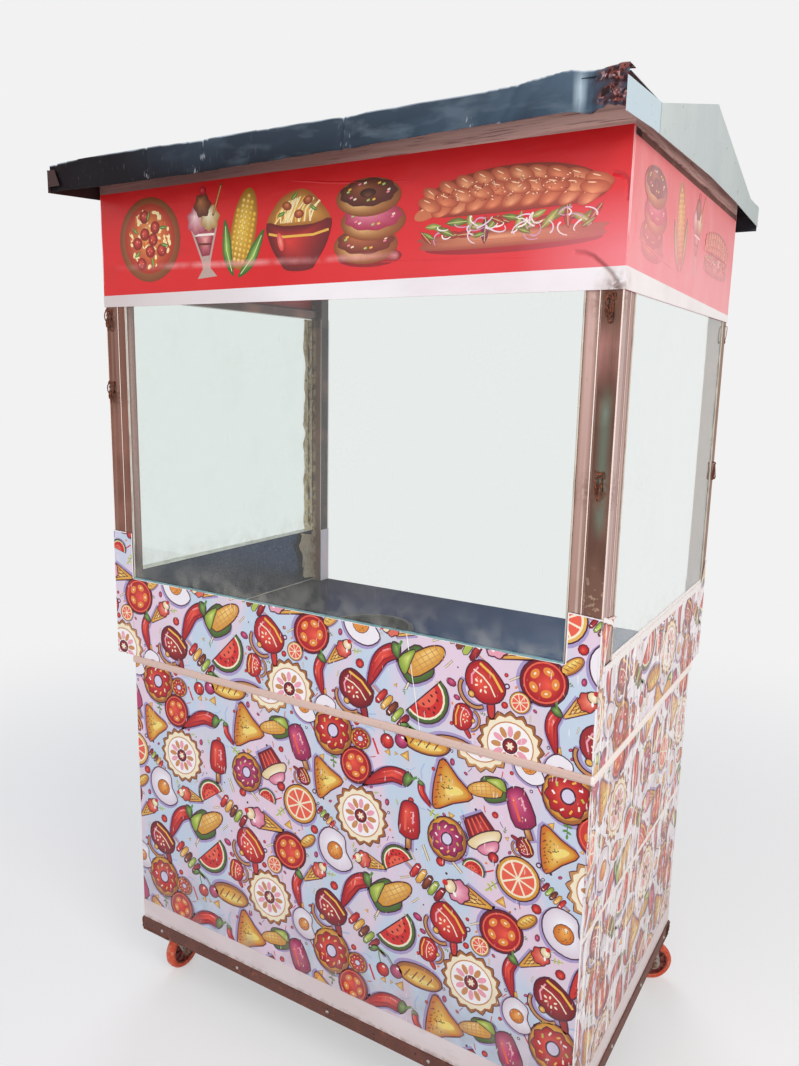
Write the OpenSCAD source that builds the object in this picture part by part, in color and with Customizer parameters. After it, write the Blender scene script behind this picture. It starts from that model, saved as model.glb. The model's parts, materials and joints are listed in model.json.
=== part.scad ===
// Street food kiosk on castors: a sheet cabinet, a glazed counter and a low pitched roof.
// The origin lies on the floor under the middle of the roof. The front faces -Y.

/* [Castors] */
// Height of a castor from the floor to the top of its plate
castor_h = 132; // [124:1:150]
// Diameter of a castor wheel
wheel_d = 100; // [80:1:101]
// Width of a wheel's tread
wheel_w = 26; // [20:1:32]
// Horizontal distance from the swivel pin to the axle
castor_trail = 35; // [30:1:40]
// Distance of the swivel pin from the base frame's ends
castor_inset_x = 60; // [50:1:70]
// Distance of the swivel pin from the base frame's front and rear
castor_inset_y = 42; // [38:1:70]
// Side of the square castor plate
castor_plate = 96; // [80:1:100]
// Thickness of the castor plate
castor_plate_t = 4; // [3:0.5:6]
// Radius of the swivel pin and of the axle
pin_r = 5; // [4:0.5:6]
// Thickness of the fork's steel
fork_t = 3; // [2:0.5:4]
// Direction in which each wheel trails: front left, front right, rear left, rear right
castor_turn = [88, 200, 110, 35]; // [-180:1:200]

/* [Base and cabinet] */
// Height of the base frame's angle iron
base_leg = 32; // [25:1:60]
// Thickness of the angle iron
base_t = 4; // [3:0.5:6]
// How far the base frame stands out past the cabinet
base_out = 4; // [2:1:20]
// Height of the cabinet panels
cabinet_h = 709; // [500:1:800]
// How far the cabinet stands back under the counter on the left
cabinet_left_inset = 60; // [10:1:150]
// How far the cabinet stands back under the counter at the rear
cabinet_rear_inset = 98; // [10:1:200]
// Thickness of the cabinet and counter sheets
sheet_t = 1.2; // [0.8:0.1:2]
// Height of the skirting at the foot of the cabinet
skirting_h = 50; // [20:1:80]
// Thickness of the skirting and of the side battens
tape_t = 1; // [0.5:0.1:3]
// Height of the moulding at the top of the cabinet
seam_h = 17; // [8:1:30]
// How far the moulding stands out
seam_out = 4; // [2:0.5:8]
// Height of the batten on each side of the cabinet above its foot
batten_up = 384; // [150:2:450]
// Width of that batten
batten_h = 10; // [5:1:30]

/* [Counter] */
// Width of the counter and of the glazed upper part
unit_w = 1220; // [900:10:1500]
// Depth of the counter and of the glazed upper part
unit_d = 828; // [650:2:1000]
// Height of the counter's apron, from its underside to the rim
apron_h = 195; // [150:5:300]
// Size of the square tubes under the tray
bearer = 30; // [20:1:40]
// Thickness of the stainless tray
tray_t = 1; // [0.8:0.1:2]
// Width of the ledge that the glass stands on
ledge_w = 9; // [8:1:20]
// Width of the corner tabs of the front apron
ear_w = 63; // [45:1:90]
// Height of the front left tab above the rim
ear_left_h = 112; // [40:1:150]
// Height of the front right tab above the rim
ear_right_h = 91; // [40:1:150]
// Height of the rear tabs above the rim
ear_rear_h = 53; // [20:1:100]
// Width of a tab on the side of a post
ear_side_w = 38; // [20:1:60]
// Radius of the burner well
burner_r = 105; // [60:1:150]
// Distance of the burner's centre from the counter's left side
burner_from_left = 460; // [300:5:600]
// Distance of the burner's centre from the counter's front
burner_from_front = 438; // [300:5:550]
// Width of the raised ring around the burner well
ring_w = 13; // [8:1:25]
// Height of that ring above the tray
ring_h = 6; // [3:1:15]
// Depth of the burner well below the tray
well_depth = 25; // [10:1:27]

/* [Glazed frame] */
// Height of the window opening, from the rim to the foot of the fascia
window_h = 636; // [450:5:800]
// Size of the square corner posts
post = 38.1; // [30:0.1:50]
// Size of the square jamb and rail tubes
jamb = 25.4; // [20:0.1:38]
// Wall thickness of the tubes
tube_wall = 1.5; // [1:0.1:2.5]
// Outer corner radius of the tubes
tube_r = 3; // [2:0.5:5]
// Thickness of the glass
glass_t = 5; // [3:0.5:6]
// How far the glass stands back from the face of the tubes
glass_set = 0.5; // [0:0.5:4]
// How far the fascia hangs down in front of the window heads
fascia_lap = 24; // [5:1:50]
// Thickness of the bar of a tie hook
hook_bar = 5; // [3:0.5:8]
// Length of a tie hook
hook_h = 42; // [25:1:60]
// How far a tie hook stands out from the post
hook_out = 14; // [10:1:20]
// Heights of the hooks' feet below the fascia, in parts of the window's height: two on the
// front left post, two on the front right post, and two on each rear post's side
hook_drops = [0.088, 0.327, 0.085, 0.522, 0.077, 0.588]; // [0.07:0.001:0.9]

/* [Fascia] */
// Height of the fascia
fascia_h = 246; // [150:2:350]
// Height of the shorter fascia over the open rear
fascia_rear_h = 148; // [100:2:240]
// How far the side fascias stop below the top rails
fascia_side_drop = 14; // [0:1:20]
// Thickness of the fascia board
fascia_t = 2; // [1:0.1:2.2]
// Height of the white band at the foot of the fascia, at the front right corner
band_h = 36; // [15:1:60]
// Height of the white band at the front left corner
band_left_h = 25; // [10:1:60]
// Height of the white band at its rear end on each side
band_rear_h = 16; // [10:1:60]
// Thickness of the white band
band_t = 0.6; // [0.4:0.1:1.5]

/* [Roof] */
// Overhang of the roof at each side
side_overhang = 22; // [15:1:80]
// Overhang of the roof at the front
front_overhang = 120; // [60:1:200]
// Overhang of the roof at the rear
rear_overhang = 152; // [60:1:200]
// Thickness of the roof sheets
roof_t = 1.2; // [0.8:0.1:2]
// How far the roof's front and rear lips hang below the top of the fascia
lip_drop = 15; // [5:1:30]
// Height of the battens between the fascia's top rails and the eaves
batten_rise = 40; // [30:1:60]
// Thickness of those battens
batten_w = 20; // [15:1:23]
// Width of the level strip along the front eaves
eave_front = 178; // [150:1:220]
// Width of the level strip along the rear eaves
eave_rear = 118; // [100:1:145]
// Rise of the ridge above the eaves
ridge_rise = 100; // [60:1:160]
// Distance of the ridge behind the roof's middle
ridge_back = 19; // [-60:1:60]
// Width of the hem that laps the lips over the roof sheet
hem_w = 30; // [20:1:45]
// Distance of the roof sheet's edges behind the lips' faces
lip_gap = 12; // [11:0.5:16]
// Width of the fold of the left gable over the lips, at its foot
gable_tab = 38; // [20:1:70]
// Size of the roof's rafters and ties
rafter = 20; // [12:1:25]
// Number of trusses between the gables
truss_n = 3; // [2:1:5]

/* [Hidden] */
$fn = 48;

// Gap left at a butt joint, and clearance of a piece beside its neighbour
joint = 0.3;
seat = 0.1;
// Running clearance of a pin in its bore, and gap between turning faces
run = 0.06;
race_gap = 0.4;

// Heights from the floor up
cabinet_z = castor_h + base_leg;
counter_z = cabinet_z + cabinet_h;
rim_z = counter_z + apron_h;
fascia_z = rim_z + window_h;
top_z = fascia_z + fascia_h;
bearer_z = counter_z + sheet_t;
tray_z = bearer_z + bearer + tray_t;
head_z = fascia_z + fascia_lap;
rear_foot_z = top_z - fascia_rear_h;
eave_z = top_z + batten_rise + roof_t;
ridge_z = eave_z + ridge_rise;
lip_z = top_z - lip_drop;
lip_top = eave_z + seat + roof_t;
lip_h = lip_top - lip_z;

// The upper unit in plan
roof_w = unit_w + 2 * side_overhang;
roof_d = unit_d + front_overhang + rear_overhang;
x0 = -unit_w / 2;
x1 = unit_w / 2;
y0 = -roof_d / 2 + front_overhang;
y1 = y0 + unit_d;
// The cabinet in plan
cab_x0 = x0 + cabinet_left_inset;
cab_x1 = x1;
cab_y0 = y0;
cab_y1 = y1 - cabinet_rear_inset;
// The base frame in plan
base_x0 = cab_x0 - base_out;
base_x1 = cab_x1 + base_out;
base_y0 = cab_y0 - base_out;
base_y1 = cab_y1 + base_out;
// The tubes stand behind the apron sheet and the tray's upturned wall
post_in = sheet_t + seat + tray_t + seat;
post_x = [x0 + post_in, x1 - post_in - post];
post_y = [y0 + post_in, y1 - post_in - post];
// Clear width between the front posts, and clear depth between the side posts
between_x = post_x[1] - post_x[0] - post;
between_y = post_y[1] - post_y[0] - post;
glass_in = post_in + glass_set;

// Castor parts, from the top of the plate down
cup_h = 5;
cup_r = 24;
race_h = 6;
race_r = 22;
nut_r = 8.5;
nut_h = 5;
wheel_side_gap = 5;
fork_gap = wheel_w + 2 * wheel_side_gap;
cup_z = castor_h - castor_plate_t - cup_h;
race_z = cup_z - race_gap;
crown_z = race_z - race_h;
axle_z = wheel_d / 2;
castor_x = [base_x0 + castor_inset_x, base_x1 - castor_inset_x];
castor_y = [base_y0 + castor_inset_y, base_y1 - castor_inset_y];

// Shape of the roof's front lip, in parts of its length from its left end: depth of its dents
// behind its face, rise of its upper edge over the hem, and rise of its lower edge
lip_dents = [[0, 2], [0.035, 0], [0.26, 1], [0.37, 0], [0.61, 0], [0.63, 5], [0.65, 0], [0.83, 0],
    [0.86, 3], [0.89, 0], [0.935, 0], [0.956, 8], [0.972, 1], [1, 0]];
lip_upper = [[0, 0], [0.08, 3], [0.26, 3], [0.37, 1], [0.6, 0.5], [0.82, 0.5], [0.86, 3], [0.93, 11],
    [0.97, 9], [1, 10]];
lip_lower = [[0, 2], [0.035, 3], [0.12, 0], [0.37, 0], [0.55, 3], [0.82, 9], [0.94, 10], [0.956, 5],
    [0.975, 14], [0.993, 11], [1, 6]];

// A rounded square tube that stands on the XY plane with its corner at the origin
module tube(length, size) {
    linear_extrude(length)
    difference() {
        rounded_square(size, tube_r);
        translate([tube_wall, tube_wall])
        rounded_square(size - 2 * tube_wall, tube_r - tube_wall / 2);
    }
}

module rounded_square(size, r) {
    translate([r, 0]) square([size - 2 * r, size]);
    translate([0, r]) square([size, size - 2 * r]);
    for (x = [r, size - r], y = [r, size - r])
        translate([x, y]) circle(r);
}

// The same tube laid along X or along Y
module tube_x(length, size) {
    rotate([90, 0, 90]) tube(length, size);
}

module tube_y(length, size) {
    translate([0, length, 0]) rotate([90, 0, 0]) tube(length, size);
}

// A plate in the XZ plane or in the YZ plane: its outline is the 2D child
module plate_xz(y, t) {
    translate([0, y + t, 0]) rotate([90, 0, 0]) linear_extrude(t) children();
}

module plate_yz(x, t) {
    translate([x, 0, 0]) rotate([90, 0, 90]) linear_extrude(t) children();
}

// Base frame: four lengths of angle iron with the level leg on top
module angle_x(length, out) {
    s = out > 0 ? 1 : 0;
    translate([0, -s * base_t, 0]) cube([length, base_t, base_leg]);
    translate([0, -s * base_leg, base_leg - base_t]) cube([length, base_leg, base_t]);
}

module angle_y(length, out) {
    s = out > 0 ? 1 : 0;
    translate([-s * base_t, 0, 0]) cube([base_t, length, base_leg]);
    translate([-s * base_leg, 0, base_leg - base_t]) cube([base_leg, length, base_t]);
}

module base_frame() {
    side = base_y1 - base_y0 - 2 * (base_leg + joint);
    color("#5a3028") {
        translate([base_x0, base_y0, castor_h]) angle_x(base_x1 - base_x0, -1);
        translate([base_x0, base_y1, castor_h]) angle_x(base_x1 - base_x0, 1);
        translate([base_x0, base_y0 + base_leg + joint, castor_h]) angle_y(side, -1);
        translate([base_x1, base_y0 + base_leg + joint, castor_h]) angle_y(side, 1);
    }
}

// Castors: the plate with its cup and swivel pin, the fork that turns on it, and the wheel
module castor_plate_one(i, j) {
    cx = castor_x[i];
    cy = castor_y[j];
    px = i == 0 ? base_x0 : base_x1 - castor_plate;
    py = j == 0 ? base_y0 : base_y1 - castor_plate;
    translate([px, py, castor_h - castor_plate_t]) cube([castor_plate, castor_plate, castor_plate_t]);
    translate([cx, cy, cup_z]) cylinder(h = cup_h, r = cup_r);
    nut_z = crown_z - fork_t - race_gap - nut_h;
    translate([cx, cy, nut_z]) cylinder(h = castor_h - castor_plate_t - nut_z, r = pin_r);
    translate([cx, cy, nut_z]) cylinder(h = nut_h, r = nut_r, $fn = 6);
}

module castor_plates() {
    color("#6b5a52")
    for (i = [0, 1], j = [0, 1])
        castor_plate_one(i, j);
}

module fork_leg() {
    leg_top = crown_z;
    boss_r = 13;
    top_half = 20;
    difference() {
        union() {
            translate([castor_trail, axle_z]) circle(boss_r);
            polygon([[-top_half + 6, leg_top], [castor_trail + 4, leg_top],
                [castor_trail + boss_r, axle_z + 2], [castor_trail + 2, axle_z - boss_r + 1],
                [castor_trail - boss_r + 1, axle_z - 5]]);
        }
        translate([castor_trail, axle_z]) circle(pin_r - 1);
    }
}

// The fork at turn 0 trails along +X
module castor_fork_shape() {
    crown_r = 27;
    half = fork_gap / 2 + fork_t;
    // Race and crown round the swivel pin
    difference() {
        union() {
            translate([0, 0, crown_z]) cylinder(h = race_h, r = race_r);
            intersection() {
                translate([0, 0, crown_z - fork_t]) cylinder(h = fork_t, r = crown_r);
                translate([-crown_r, -half, 0]) cube([2 * crown_r, 2 * half, castor_h]);
            }
            translate([0, -half, crown_z - fork_t]) cube([castor_trail + 4, 2 * half, fork_t]);
        }
        translate([0, 0, crown_z - 2 * fork_t]) cylinder(h = race_h + 3 * fork_t, r = pin_r + run);
    }
    for (y = [-half, fork_gap / 2])
        plate_xz(y, fork_t) fork_leg();
    // Axle bolt with its head and nut
    translate([castor_trail, 0, axle_z]) rotate([90, 0, 0]) {
        cylinder(h = 2 * half, r = pin_r, center = true);
        for (s = [-1, 1])
            translate([0, 0, s * (half + 2.5)]) cylinder(h = 5, r = 8, center = true, $fn = 6);
    }
}

// Wheel section: bore, hub, web, rim and a crowned tread
module wheel_section() {
    hub_half = fork_gap / 2 - joint;
    hub_r = 12;
    rim_r = wheel_d / 2 - 14;
    half = wheel_w / 2;
    web_half = 4;
    bore = pin_r + run;
    polygon([[bore, -hub_half], [hub_r, -hub_half], [hub_r, -web_half], [rim_r, -web_half],
        [rim_r, -half + 2], [rim_r + 2, -half], [wheel_d / 2 - 5, -half], [wheel_d / 2 - 1, -half + 5],
        [wheel_d / 2, 0], [wheel_d / 2 - 1, half - 5], [wheel_d / 2 - 5, half], [rim_r + 2, half],
        [rim_r, half - 2], [rim_r, web_half], [hub_r, web_half], [hub_r, hub_half], [bore, hub_half]]);
}

module castor_at(i, j) {
    translate([castor_x[i], castor_y[j], 0])
    rotate([0, 0, castor_turn[i + 2 * j]])
    children();
}

module castor_fork(i, j) {
    color("#7a5a48") castor_at(i, j) castor_fork_shape();
}

module castor_wheel(i, j) {
    color("#c8502a") castor_at(i, j)
    translate([castor_trail, 0, axle_z]) rotate([90, 0, 0]) rotate_extrude($fn = 96) wheel_section();
}

// Cabinet
cab_in = sheet_t + seat;

module cabinet_frame() {
    bar_z0 = cabinet_z + sheet_t + joint;
    upright = counter_z - bar_z0 - seat;
    xs = [cab_x0 + cab_in, cab_x1 - cab_in - jamb];
    ys = [cab_y0 + cab_in, cab_y1 - cab_in - jamb];
    run_x = xs[1] - xs[0] - jamb - 2 * joint;
    run_y = ys[1] - ys[0] - jamb - 2 * joint;
    rail_z = counter_z - seat - jamb;
    mid_z = cabinet_z + batten_up - jamb / 2;
    color("#6e4038") {
        for (x = xs, y = ys)
            translate([x, y, bar_z0]) tube(upright, jamb);
        for (y = ys)
            translate([xs[0] + jamb + joint, y, rail_z]) tube_x(run_x, jamb);
        for (x = xs, z = [rail_z, mid_z])
            translate([x, ys[0] + jamb + joint, z]) tube_y(run_y, jamb);
    }
}

module cabinet_floor() {
    color("#8a7a72")
    translate([cab_x0 + cab_in, cab_y0 + cab_in, cabinet_z])
    cube([cab_x1 - cab_x0 - 2 * cab_in, cab_y1 - cab_y0 - 2 * cab_in, sheet_t]);
}

module cabinet_long_panel(y) {
    color("#d9d3e6")
    translate([cab_x0, y, cabinet_z]) cube([cab_x1 - cab_x0, sheet_t, cabinet_h]);
}

module cabinet_side_panel(x) {
    color("#d9d3e6")
    translate([x, cab_y0 + sheet_t + joint, cabinet_z])
    cube([sheet_t, cab_y1 - cab_y0 - 2 * (sheet_t + joint), cabinet_h]);
}

// Strips that run round the cabinet: two long ones and two between them
module band_round(z, h, t) {
    long = cab_x1 - cab_x0 + 2 * t;
    short = cab_y1 - cab_y0 - 2 * joint;
    translate([cab_x0 - t, cab_y0 - t, z]) cube([long, t, h]);
    translate([cab_x0 - t, cab_y1, z]) cube([long, t, h]);
    for (x = [cab_x0 - t, cab_x1])
        translate([x, cab_y0 + joint, z]) cube([t, short, h]);
}

module skirting() {
    color("#d8c4c4") band_round(cabinet_z, skirting_h, tape_t);
}

// Moulding with a bevelled face, seen from its end
module seam_section() {
    polygon([[0, 0], [seam_out / 2, 0], [seam_out, seam_h / 4], [seam_out, seam_h * 3 / 4],
        [seam_out / 2, seam_h], [0, seam_h]]);
}

module seam_strips() {
    z = counter_z - seam_h;
    long = cab_x1 - cab_x0 + 2 * seam_out;
    short = cab_y1 - cab_y0 - 2 * joint;
    color("#d9b4a8") {
        translate([cab_x0 - seam_out, cab_y1, z]) rotate([90, 0, 90]) linear_extrude(long) seam_section();
        translate([cab_x1 + seam_out, cab_y0, z]) rotate([90, 0, -90]) linear_extrude(long) seam_section();
        translate([cab_x1, cab_y1 - joint, z]) rotate([90, 0, 0]) linear_extrude(short) seam_section();
        translate([cab_x0, cab_y0 + joint, z]) rotate([90, 0, 180]) linear_extrude(short) seam_section();
        for (x = [cab_x0 - tape_t, cab_x1])
            translate([x, cab_y0 + joint, cabinet_z + batten_up - batten_h / 2])
            cube([tape_t, short, batten_h]);
    }
}

// Counter
module counter_bottom() {
    color("#8a7a72")
    translate([x0 + sheet_t, y0 + sheet_t, counter_z])
    cube([unit_w - 2 * sheet_t, unit_d - 2 * sheet_t, sheet_t]);
}

// Tubes under the tray: a ring between the posts and two bearers across it
module counter_frame() {
    rail_x = between_x - 2 * joint;
    rail_y = between_y - 2 * joint;
    across = unit_d - 2 * (post_in + bearer + joint);
    bearer_x = [x0 + unit_w * 0.2, x0 + unit_w * 0.62];
    color("#6e4038") {
        for (y = [y0 + post_in, y1 - post_in - bearer])
            translate([post_x[0] + post + joint, y, bearer_z]) tube_x(rail_x, bearer);
        for (x = [x0 + post_in, x1 - post_in - bearer])
            translate([x, post_y[0] + post + joint, bearer_z]) tube_y(rail_y, bearer);
        for (x = bearer_x)
            translate([x, y0 + post_in + bearer + joint, bearer_z]) tube_y(across, bearer);
    }
}

module counter_front() {
    color("#d9d3e6")
    plate_xz(y0, sheet_t)
    polygon([[x0, counter_z], [x1, counter_z], [x1, rim_z + ear_right_h],
        [x1 - ear_w, rim_z + ear_right_h + 4], [x1 - ear_w, rim_z], [x0 + ear_w, rim_z],
        [x0 + ear_w - 2, rim_z + ear_left_h - 1], [x0, rim_z + ear_left_h]]);
}

module counter_side_outline() {
    ya = y0 + sheet_t + joint;
    polygon([[ya, counter_z], [y1, counter_z], [y1, rim_z + ear_rear_h],
        [y1 - ear_side_w / 4, rim_z + ear_rear_h - 6], [y1 - ear_side_w, rim_z],
        [ya + ear_side_w / 2, rim_z], [ya + ear_side_w, rim_z + ear_right_h * 0.7],
        [ya + ear_side_w * 1.9, rim_z + ear_right_h * 0.9], [ya, rim_z + ear_right_h]]);
}

module counter_left() {
    color("#d9d3e6") plate_yz(x0, sheet_t) counter_side_outline();
}

module counter_right() {
    color("#d9d3e6") plate_yz(x1 - sheet_t, sheet_t) counter_side_outline();
}

// The rear is open above the tray: a low strip, and a corner wrap round each rear post
module counter_rear() {
    xa = x0 + sheet_t + joint;
    wrap_in = post_in + post + joint + sheet_t;
    wrap_z = tray_z + joint;
    wrap_h = rim_z + 4 - wrap_z;
    color("#d9d3e6") {
        translate([xa, y1 - sheet_t, counter_z]) cube([-2 * xa, sheet_t, tray_z - counter_z]);
        for (s = [0, 1])
            mirror([s, 0, 0])
            translate([0, 0, wrap_z]) {
                translate([xa, y1 - sheet_t, 0]) cube([x0 + wrap_in - xa, sheet_t, wrap_h]);
                translate([x0 + wrap_in - sheet_t, post_y[1], 0])
                cube([sheet_t, y1 - post_y[1], wrap_h]);
            }
    }
}

// Stainless tray: a floor notched round the posts, and upturned walls with a ledge for the glass
module counter_tray() {
    wall_in = sheet_t + seat;
    floor_in = wall_in + tray_t + seat;
    notch = post_in + post + joint;
    rear_notch = notch + sheet_t + joint;
    front_ledge = between_x - 2 * (jamb + joint);
    side_ledge = between_y - jamb - 2 * joint;
    wall_z = tray_z - tray_t;
    wall_h = rim_z - wall_z;
    side_len = unit_d - 2 * sheet_t - tray_t - 3 * seat;
    color("#9aa4ae") {
        difference() {
            translate([x0 + floor_in, y0 + floor_in, wall_z])
            cube([unit_w - 2 * floor_in, unit_d - floor_in - wall_in, tray_t]);
            for (x = [x0, x1 - notch])
                translate([x, y0, wall_z - 1]) cube([notch, notch, tray_t + 2]);
            for (x = [x0, x1 - rear_notch])
                translate([x, y1 - notch, wall_z - 1]) cube([rear_notch, notch, tray_t + 2]);
            for (x = [x0, x1 - notch - jamb])
                translate([x, y0, wall_z - 1]) cube([notch + jamb, post_in + jamb + joint, tray_t + 2]);
            for (x = [x0, x1 - post_in - jamb - joint])
                translate([x, y0, wall_z - 1]) cube([post_in + jamb + joint, notch + jamb, tray_t + 2]);
            translate([x0 + burner_from_left, y0 + burner_from_front, wall_z - 1])
            cylinder(h = tray_t + 2, r = burner_r + ring_w + joint);
        }
        translate([x0 + wall_in, y0 + wall_in, wall_z]) cube([unit_w - 2 * wall_in, tray_t, wall_h]);
        translate([-front_ledge / 2, y0 + wall_in, rim_z - tray_t]) cube([front_ledge, tray_t + ledge_w, tray_t]);
        for (s = [0, 1]) mirror([s, 0, 0]) {
            translate([x0 + wall_in, y0 + wall_in + tray_t + seat, wall_z]) cube([tray_t, side_len, wall_h]);
            translate([x0 + wall_in, post_y[0] + post + jamb + joint, rim_z - tray_t])
            cube([tray_t + ledge_w, side_ledge, tray_t]);
        }
    }
}

// Round well with a raised ring, welded into the tray by its flange
module burner_well() {
    wall = 1.5;
    color("#3a3836")
    translate([x0 + burner_from_left, y0 + burner_from_front, tray_z])
    rotate_extrude($fn = 128)
    polygon([[0, -well_depth], [burner_r, -well_depth], [burner_r, -tray_t],
        [burner_r + ring_w, -tray_t], [burner_r + ring_w, 0], [burner_r + ring_w - 2, ring_h],
        [burner_r - wall, ring_h], [burner_r - wall, -well_depth + wall], [0, -well_depth + wall]]);
}

// Glazed frame
module corner_post(i, j) {
    color("#b0a29a")
    translate([post_x[i], post_y[j], bearer_z]) tube(top_z - bearer_z, post);
}

// Jambs beside the front posts, in the front and in the sides
module window_jambs() {
    length = head_z - tray_z - 2 * joint;
    xf = [post_x[0] + post + seat, post_x[1] - jamb - seat];
    xs = [post_x[0], post_x[1] + post - jamb];
    color("#b0a29a") {
        for (x = xf)
            translate([x, post_y[0], tray_z + joint]) tube(length, jamb);
        for (x = xs)
            translate([x, post_y[0] + post + seat, tray_z + joint]) tube(length, jamb);
    }
}

// Rails between the posts: three at a given height, and one along the rear at its own height
module rails_between(z, rear_z) {
    len_x = between_x - 2 * joint;
    len_y = between_y - 2 * joint;
    translate([post_x[0] + post + joint, post_y[0], z]) tube_x(len_x, jamb);
    translate([post_x[0] + post + joint, post_y[1] + post - jamb, rear_z]) tube_x(len_x, jamb);
    for (x = [post_x[0], post_x[1] + post - jamb])
        translate([x, post_y[0] + post + joint, z]) tube_y(len_y, jamb);
}

module window_heads() {
    color("#b0a29a") rails_between(head_z, rear_foot_z);
}

module glass_front() {
    w = between_x - 2 * (jamb + seat + joint);
    color("#9fc4bd", 0.4)
    translate([-w / 2, y0 + glass_in, rim_z + seat]) cube([w, glass_t, head_z - rim_z - joint]);
}

module glass_side(x) {
    ya = post_y[0] + post + seat + jamb + joint;
    color("#9fc4bd", 0.4)
    translate([x, ya, rim_z + seat]) cube([glass_t, post_y[1] - ya - joint, head_z - rim_z - joint]);
}

// Tie hook: a bent bar welded to a post's outer face, its legs along +Y from the face
module tie_hook() {
    r = hook_bar / 2;
    reach = hook_out - r;
    for (z = [0, hook_h - hook_bar])
        translate([0, reach, z]) {
            sphere(r);
            rotate([90, 0, 0]) cylinder(h = reach, r = r);
        }
    translate([0, reach, 0]) cylinder(h = hook_h - hook_bar, r = r);
}

module tie_hooks() {
    front_x = [post_x[0] + post * 0.25, post_x[1] + post * 0.45];
    hook_z = [for (k = hook_drops) fascia_z - k * window_h];
    color("#6a3a2a") {
        for (i = [0, 1], k = [0, 1])
            translate([front_x[i], post_y[0], hook_z[2 * i + k]]) mirror([0, 1, 0]) tie_hook();
        for (s = [0, 1], z = [hook_z[4], hook_z[5]])
            mirror([s, 0, 0])
            translate([post_x[1] + post, post_y[1] + post / 2, z]) rotate([0, 0, -90]) tie_hook();
    }
}

// Fascia
module fascia_frame() {
    rail_z = top_z - jamb;
    front_foot = head_z + jamb + joint;
    rear_foot = rear_foot_z + jamb + joint;
    color("#6e4038") {
        rails_between(rail_z, rail_z);
        for (x = [-unit_w / 6, unit_w / 6]) {
            translate([x - jamb / 2, post_y[0], front_foot]) tube(rail_z - joint - front_foot, jamb);
            translate([x - jamb / 2, post_y[1] + post - jamb, rear_foot])
            tube(rail_z - joint - rear_foot, jamb);
        }
    }
}

module fascia_long(y, z) {
    color("#c8282a") translate([x0, y, z]) cube([unit_w, fascia_t, top_z - z]);
}

module fascia_side(x, z) {
    color("#c8282a")
    translate([x, y0 + fascia_t + joint, z])
    cube([fascia_t, unit_d - 2 * (fascia_t + joint), top_z - fascia_side_drop - z]);
}

// White band along the foot of the fascia, its top edge cut by hand
module fascia_band() {
    xa = x0 - band_t;
    xb = x1 + band_t;
    ya = y0 + joint;
    yb = y1 - joint;
    color("#ede6e6") {
        plate_xz(y0 - band_t, band_t)
        polygon([[xa, fascia_z], [xb, fascia_z], [xb, fascia_z + band_h], [xa, fascia_z + band_left_h]]);
        plate_yz(x1, band_t)
        polygon([[ya, fascia_z], [yb, fascia_z], [yb, fascia_z + band_rear_h], [ya, fascia_z + band_h]]);
        plate_yz(xa, band_t)
        polygon([[ya, head_z], [yb, head_z], [yb, head_z + band_rear_h], [ya, head_z + band_left_h]]);
    }
}

// Roof
half_w = roof_w / 2;
half_d = roof_d / 2;
face_in = roof_t + seat;
sheet_w = roof_w - 2 * face_in;
sheet_y0 = -half_d + face_in + lip_gap;
sheet_y1 = half_d - face_in - lip_gap;
// The lines where the level eaves strips meet the slopes
front_break = -half_d + eave_front;
rear_break = half_d - eave_rear;
slope_f = ridge_rise / (ridge_back - front_break);
slope_r = ridge_rise / (rear_break - ridge_back);
// Undersides of the sheet at the ridge and at the eaves
ridge_under = ridge_z - roof_t;
eave_under = eave_z - roof_t;

// Battens on the fascia's top rails that carry the sheet at the front, the rear and the sides
module roof_battens() {
    rear_rise = max(0, slope_r * (rear_break - y1));
    side = unit_d - 2 * (batten_w + joint);
    h = eave_under - seat - top_z;
    color("#8f5a50") {
        translate([x0, y0, top_z]) cube([unit_w, batten_w, h]);
        translate([x0, y1 - batten_w, top_z]) cube([unit_w, batten_w, h + rear_rise]);
        for (x = [x0, x1 - batten_w])
            translate([x, y0 + batten_w + joint, top_z]) cube([batten_w, side, h]);
    }
}

// Trusses: a tie between the battens, a king post, and two rafters that meet the ridge tube
module roof_frame() {
    half = rafter / 2;
    drop = max(slope_f, slope_r) * half;
    ridge_foot = ridge_under - drop - rafter - joint;
    tie_a = y0 + batten_w + joint;
    tie_b = y1 - batten_w - joint;
    tie_top = top_z + seat + rafter;
    color("#7b3a3c") {
        translate([-sheet_w / 2, ridge_back - half, ridge_foot]) tube_x(sheet_w, rafter);
        for (k = [1 : truss_n])
            translate([-half_w + k * roof_w / (truss_n + 1) - half, 0, 0]) {
                translate([0, tie_a, top_z + seat]) tube_y(tie_b - tie_a, rafter);
                translate([0, ridge_back - half, tie_top + joint])
                tube(ridge_foot - 2 * joint - tie_top, rafter);
                translate([0, ridge_back, tie_top + joint]) {
                    truss_side(slope_r, tie_b - ridge_back, ridge_under - joint - tie_top - joint);
                    mirror([0, 1, 0])
                    truss_side(slope_f, ridge_back - tie_a, ridge_under - joint - tie_top - joint);
                }
            }
    }
}

// A rafter under one slope, from the ridge tube out to a foot on the end of the tie.
// It starts at the tie's top under the ridge; peak is the height of its upper edge there.
module truss_side(slope, reach, peak) {
    start = rafter / 2 + joint;
    foot_top = peak - slope * reach;
    intersection() {
        plate_yz(0, rafter)
        polygon([[0, peak], [reach, foot_top], [reach, foot_top - rafter], [0, peak - rafter]]);
        translate([0, start, 0]) cube([rafter, reach - start, peak]);
    }
    translate([0, reach - rafter, 0]) cube([rafter, rafter, foot_top]);
}

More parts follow.
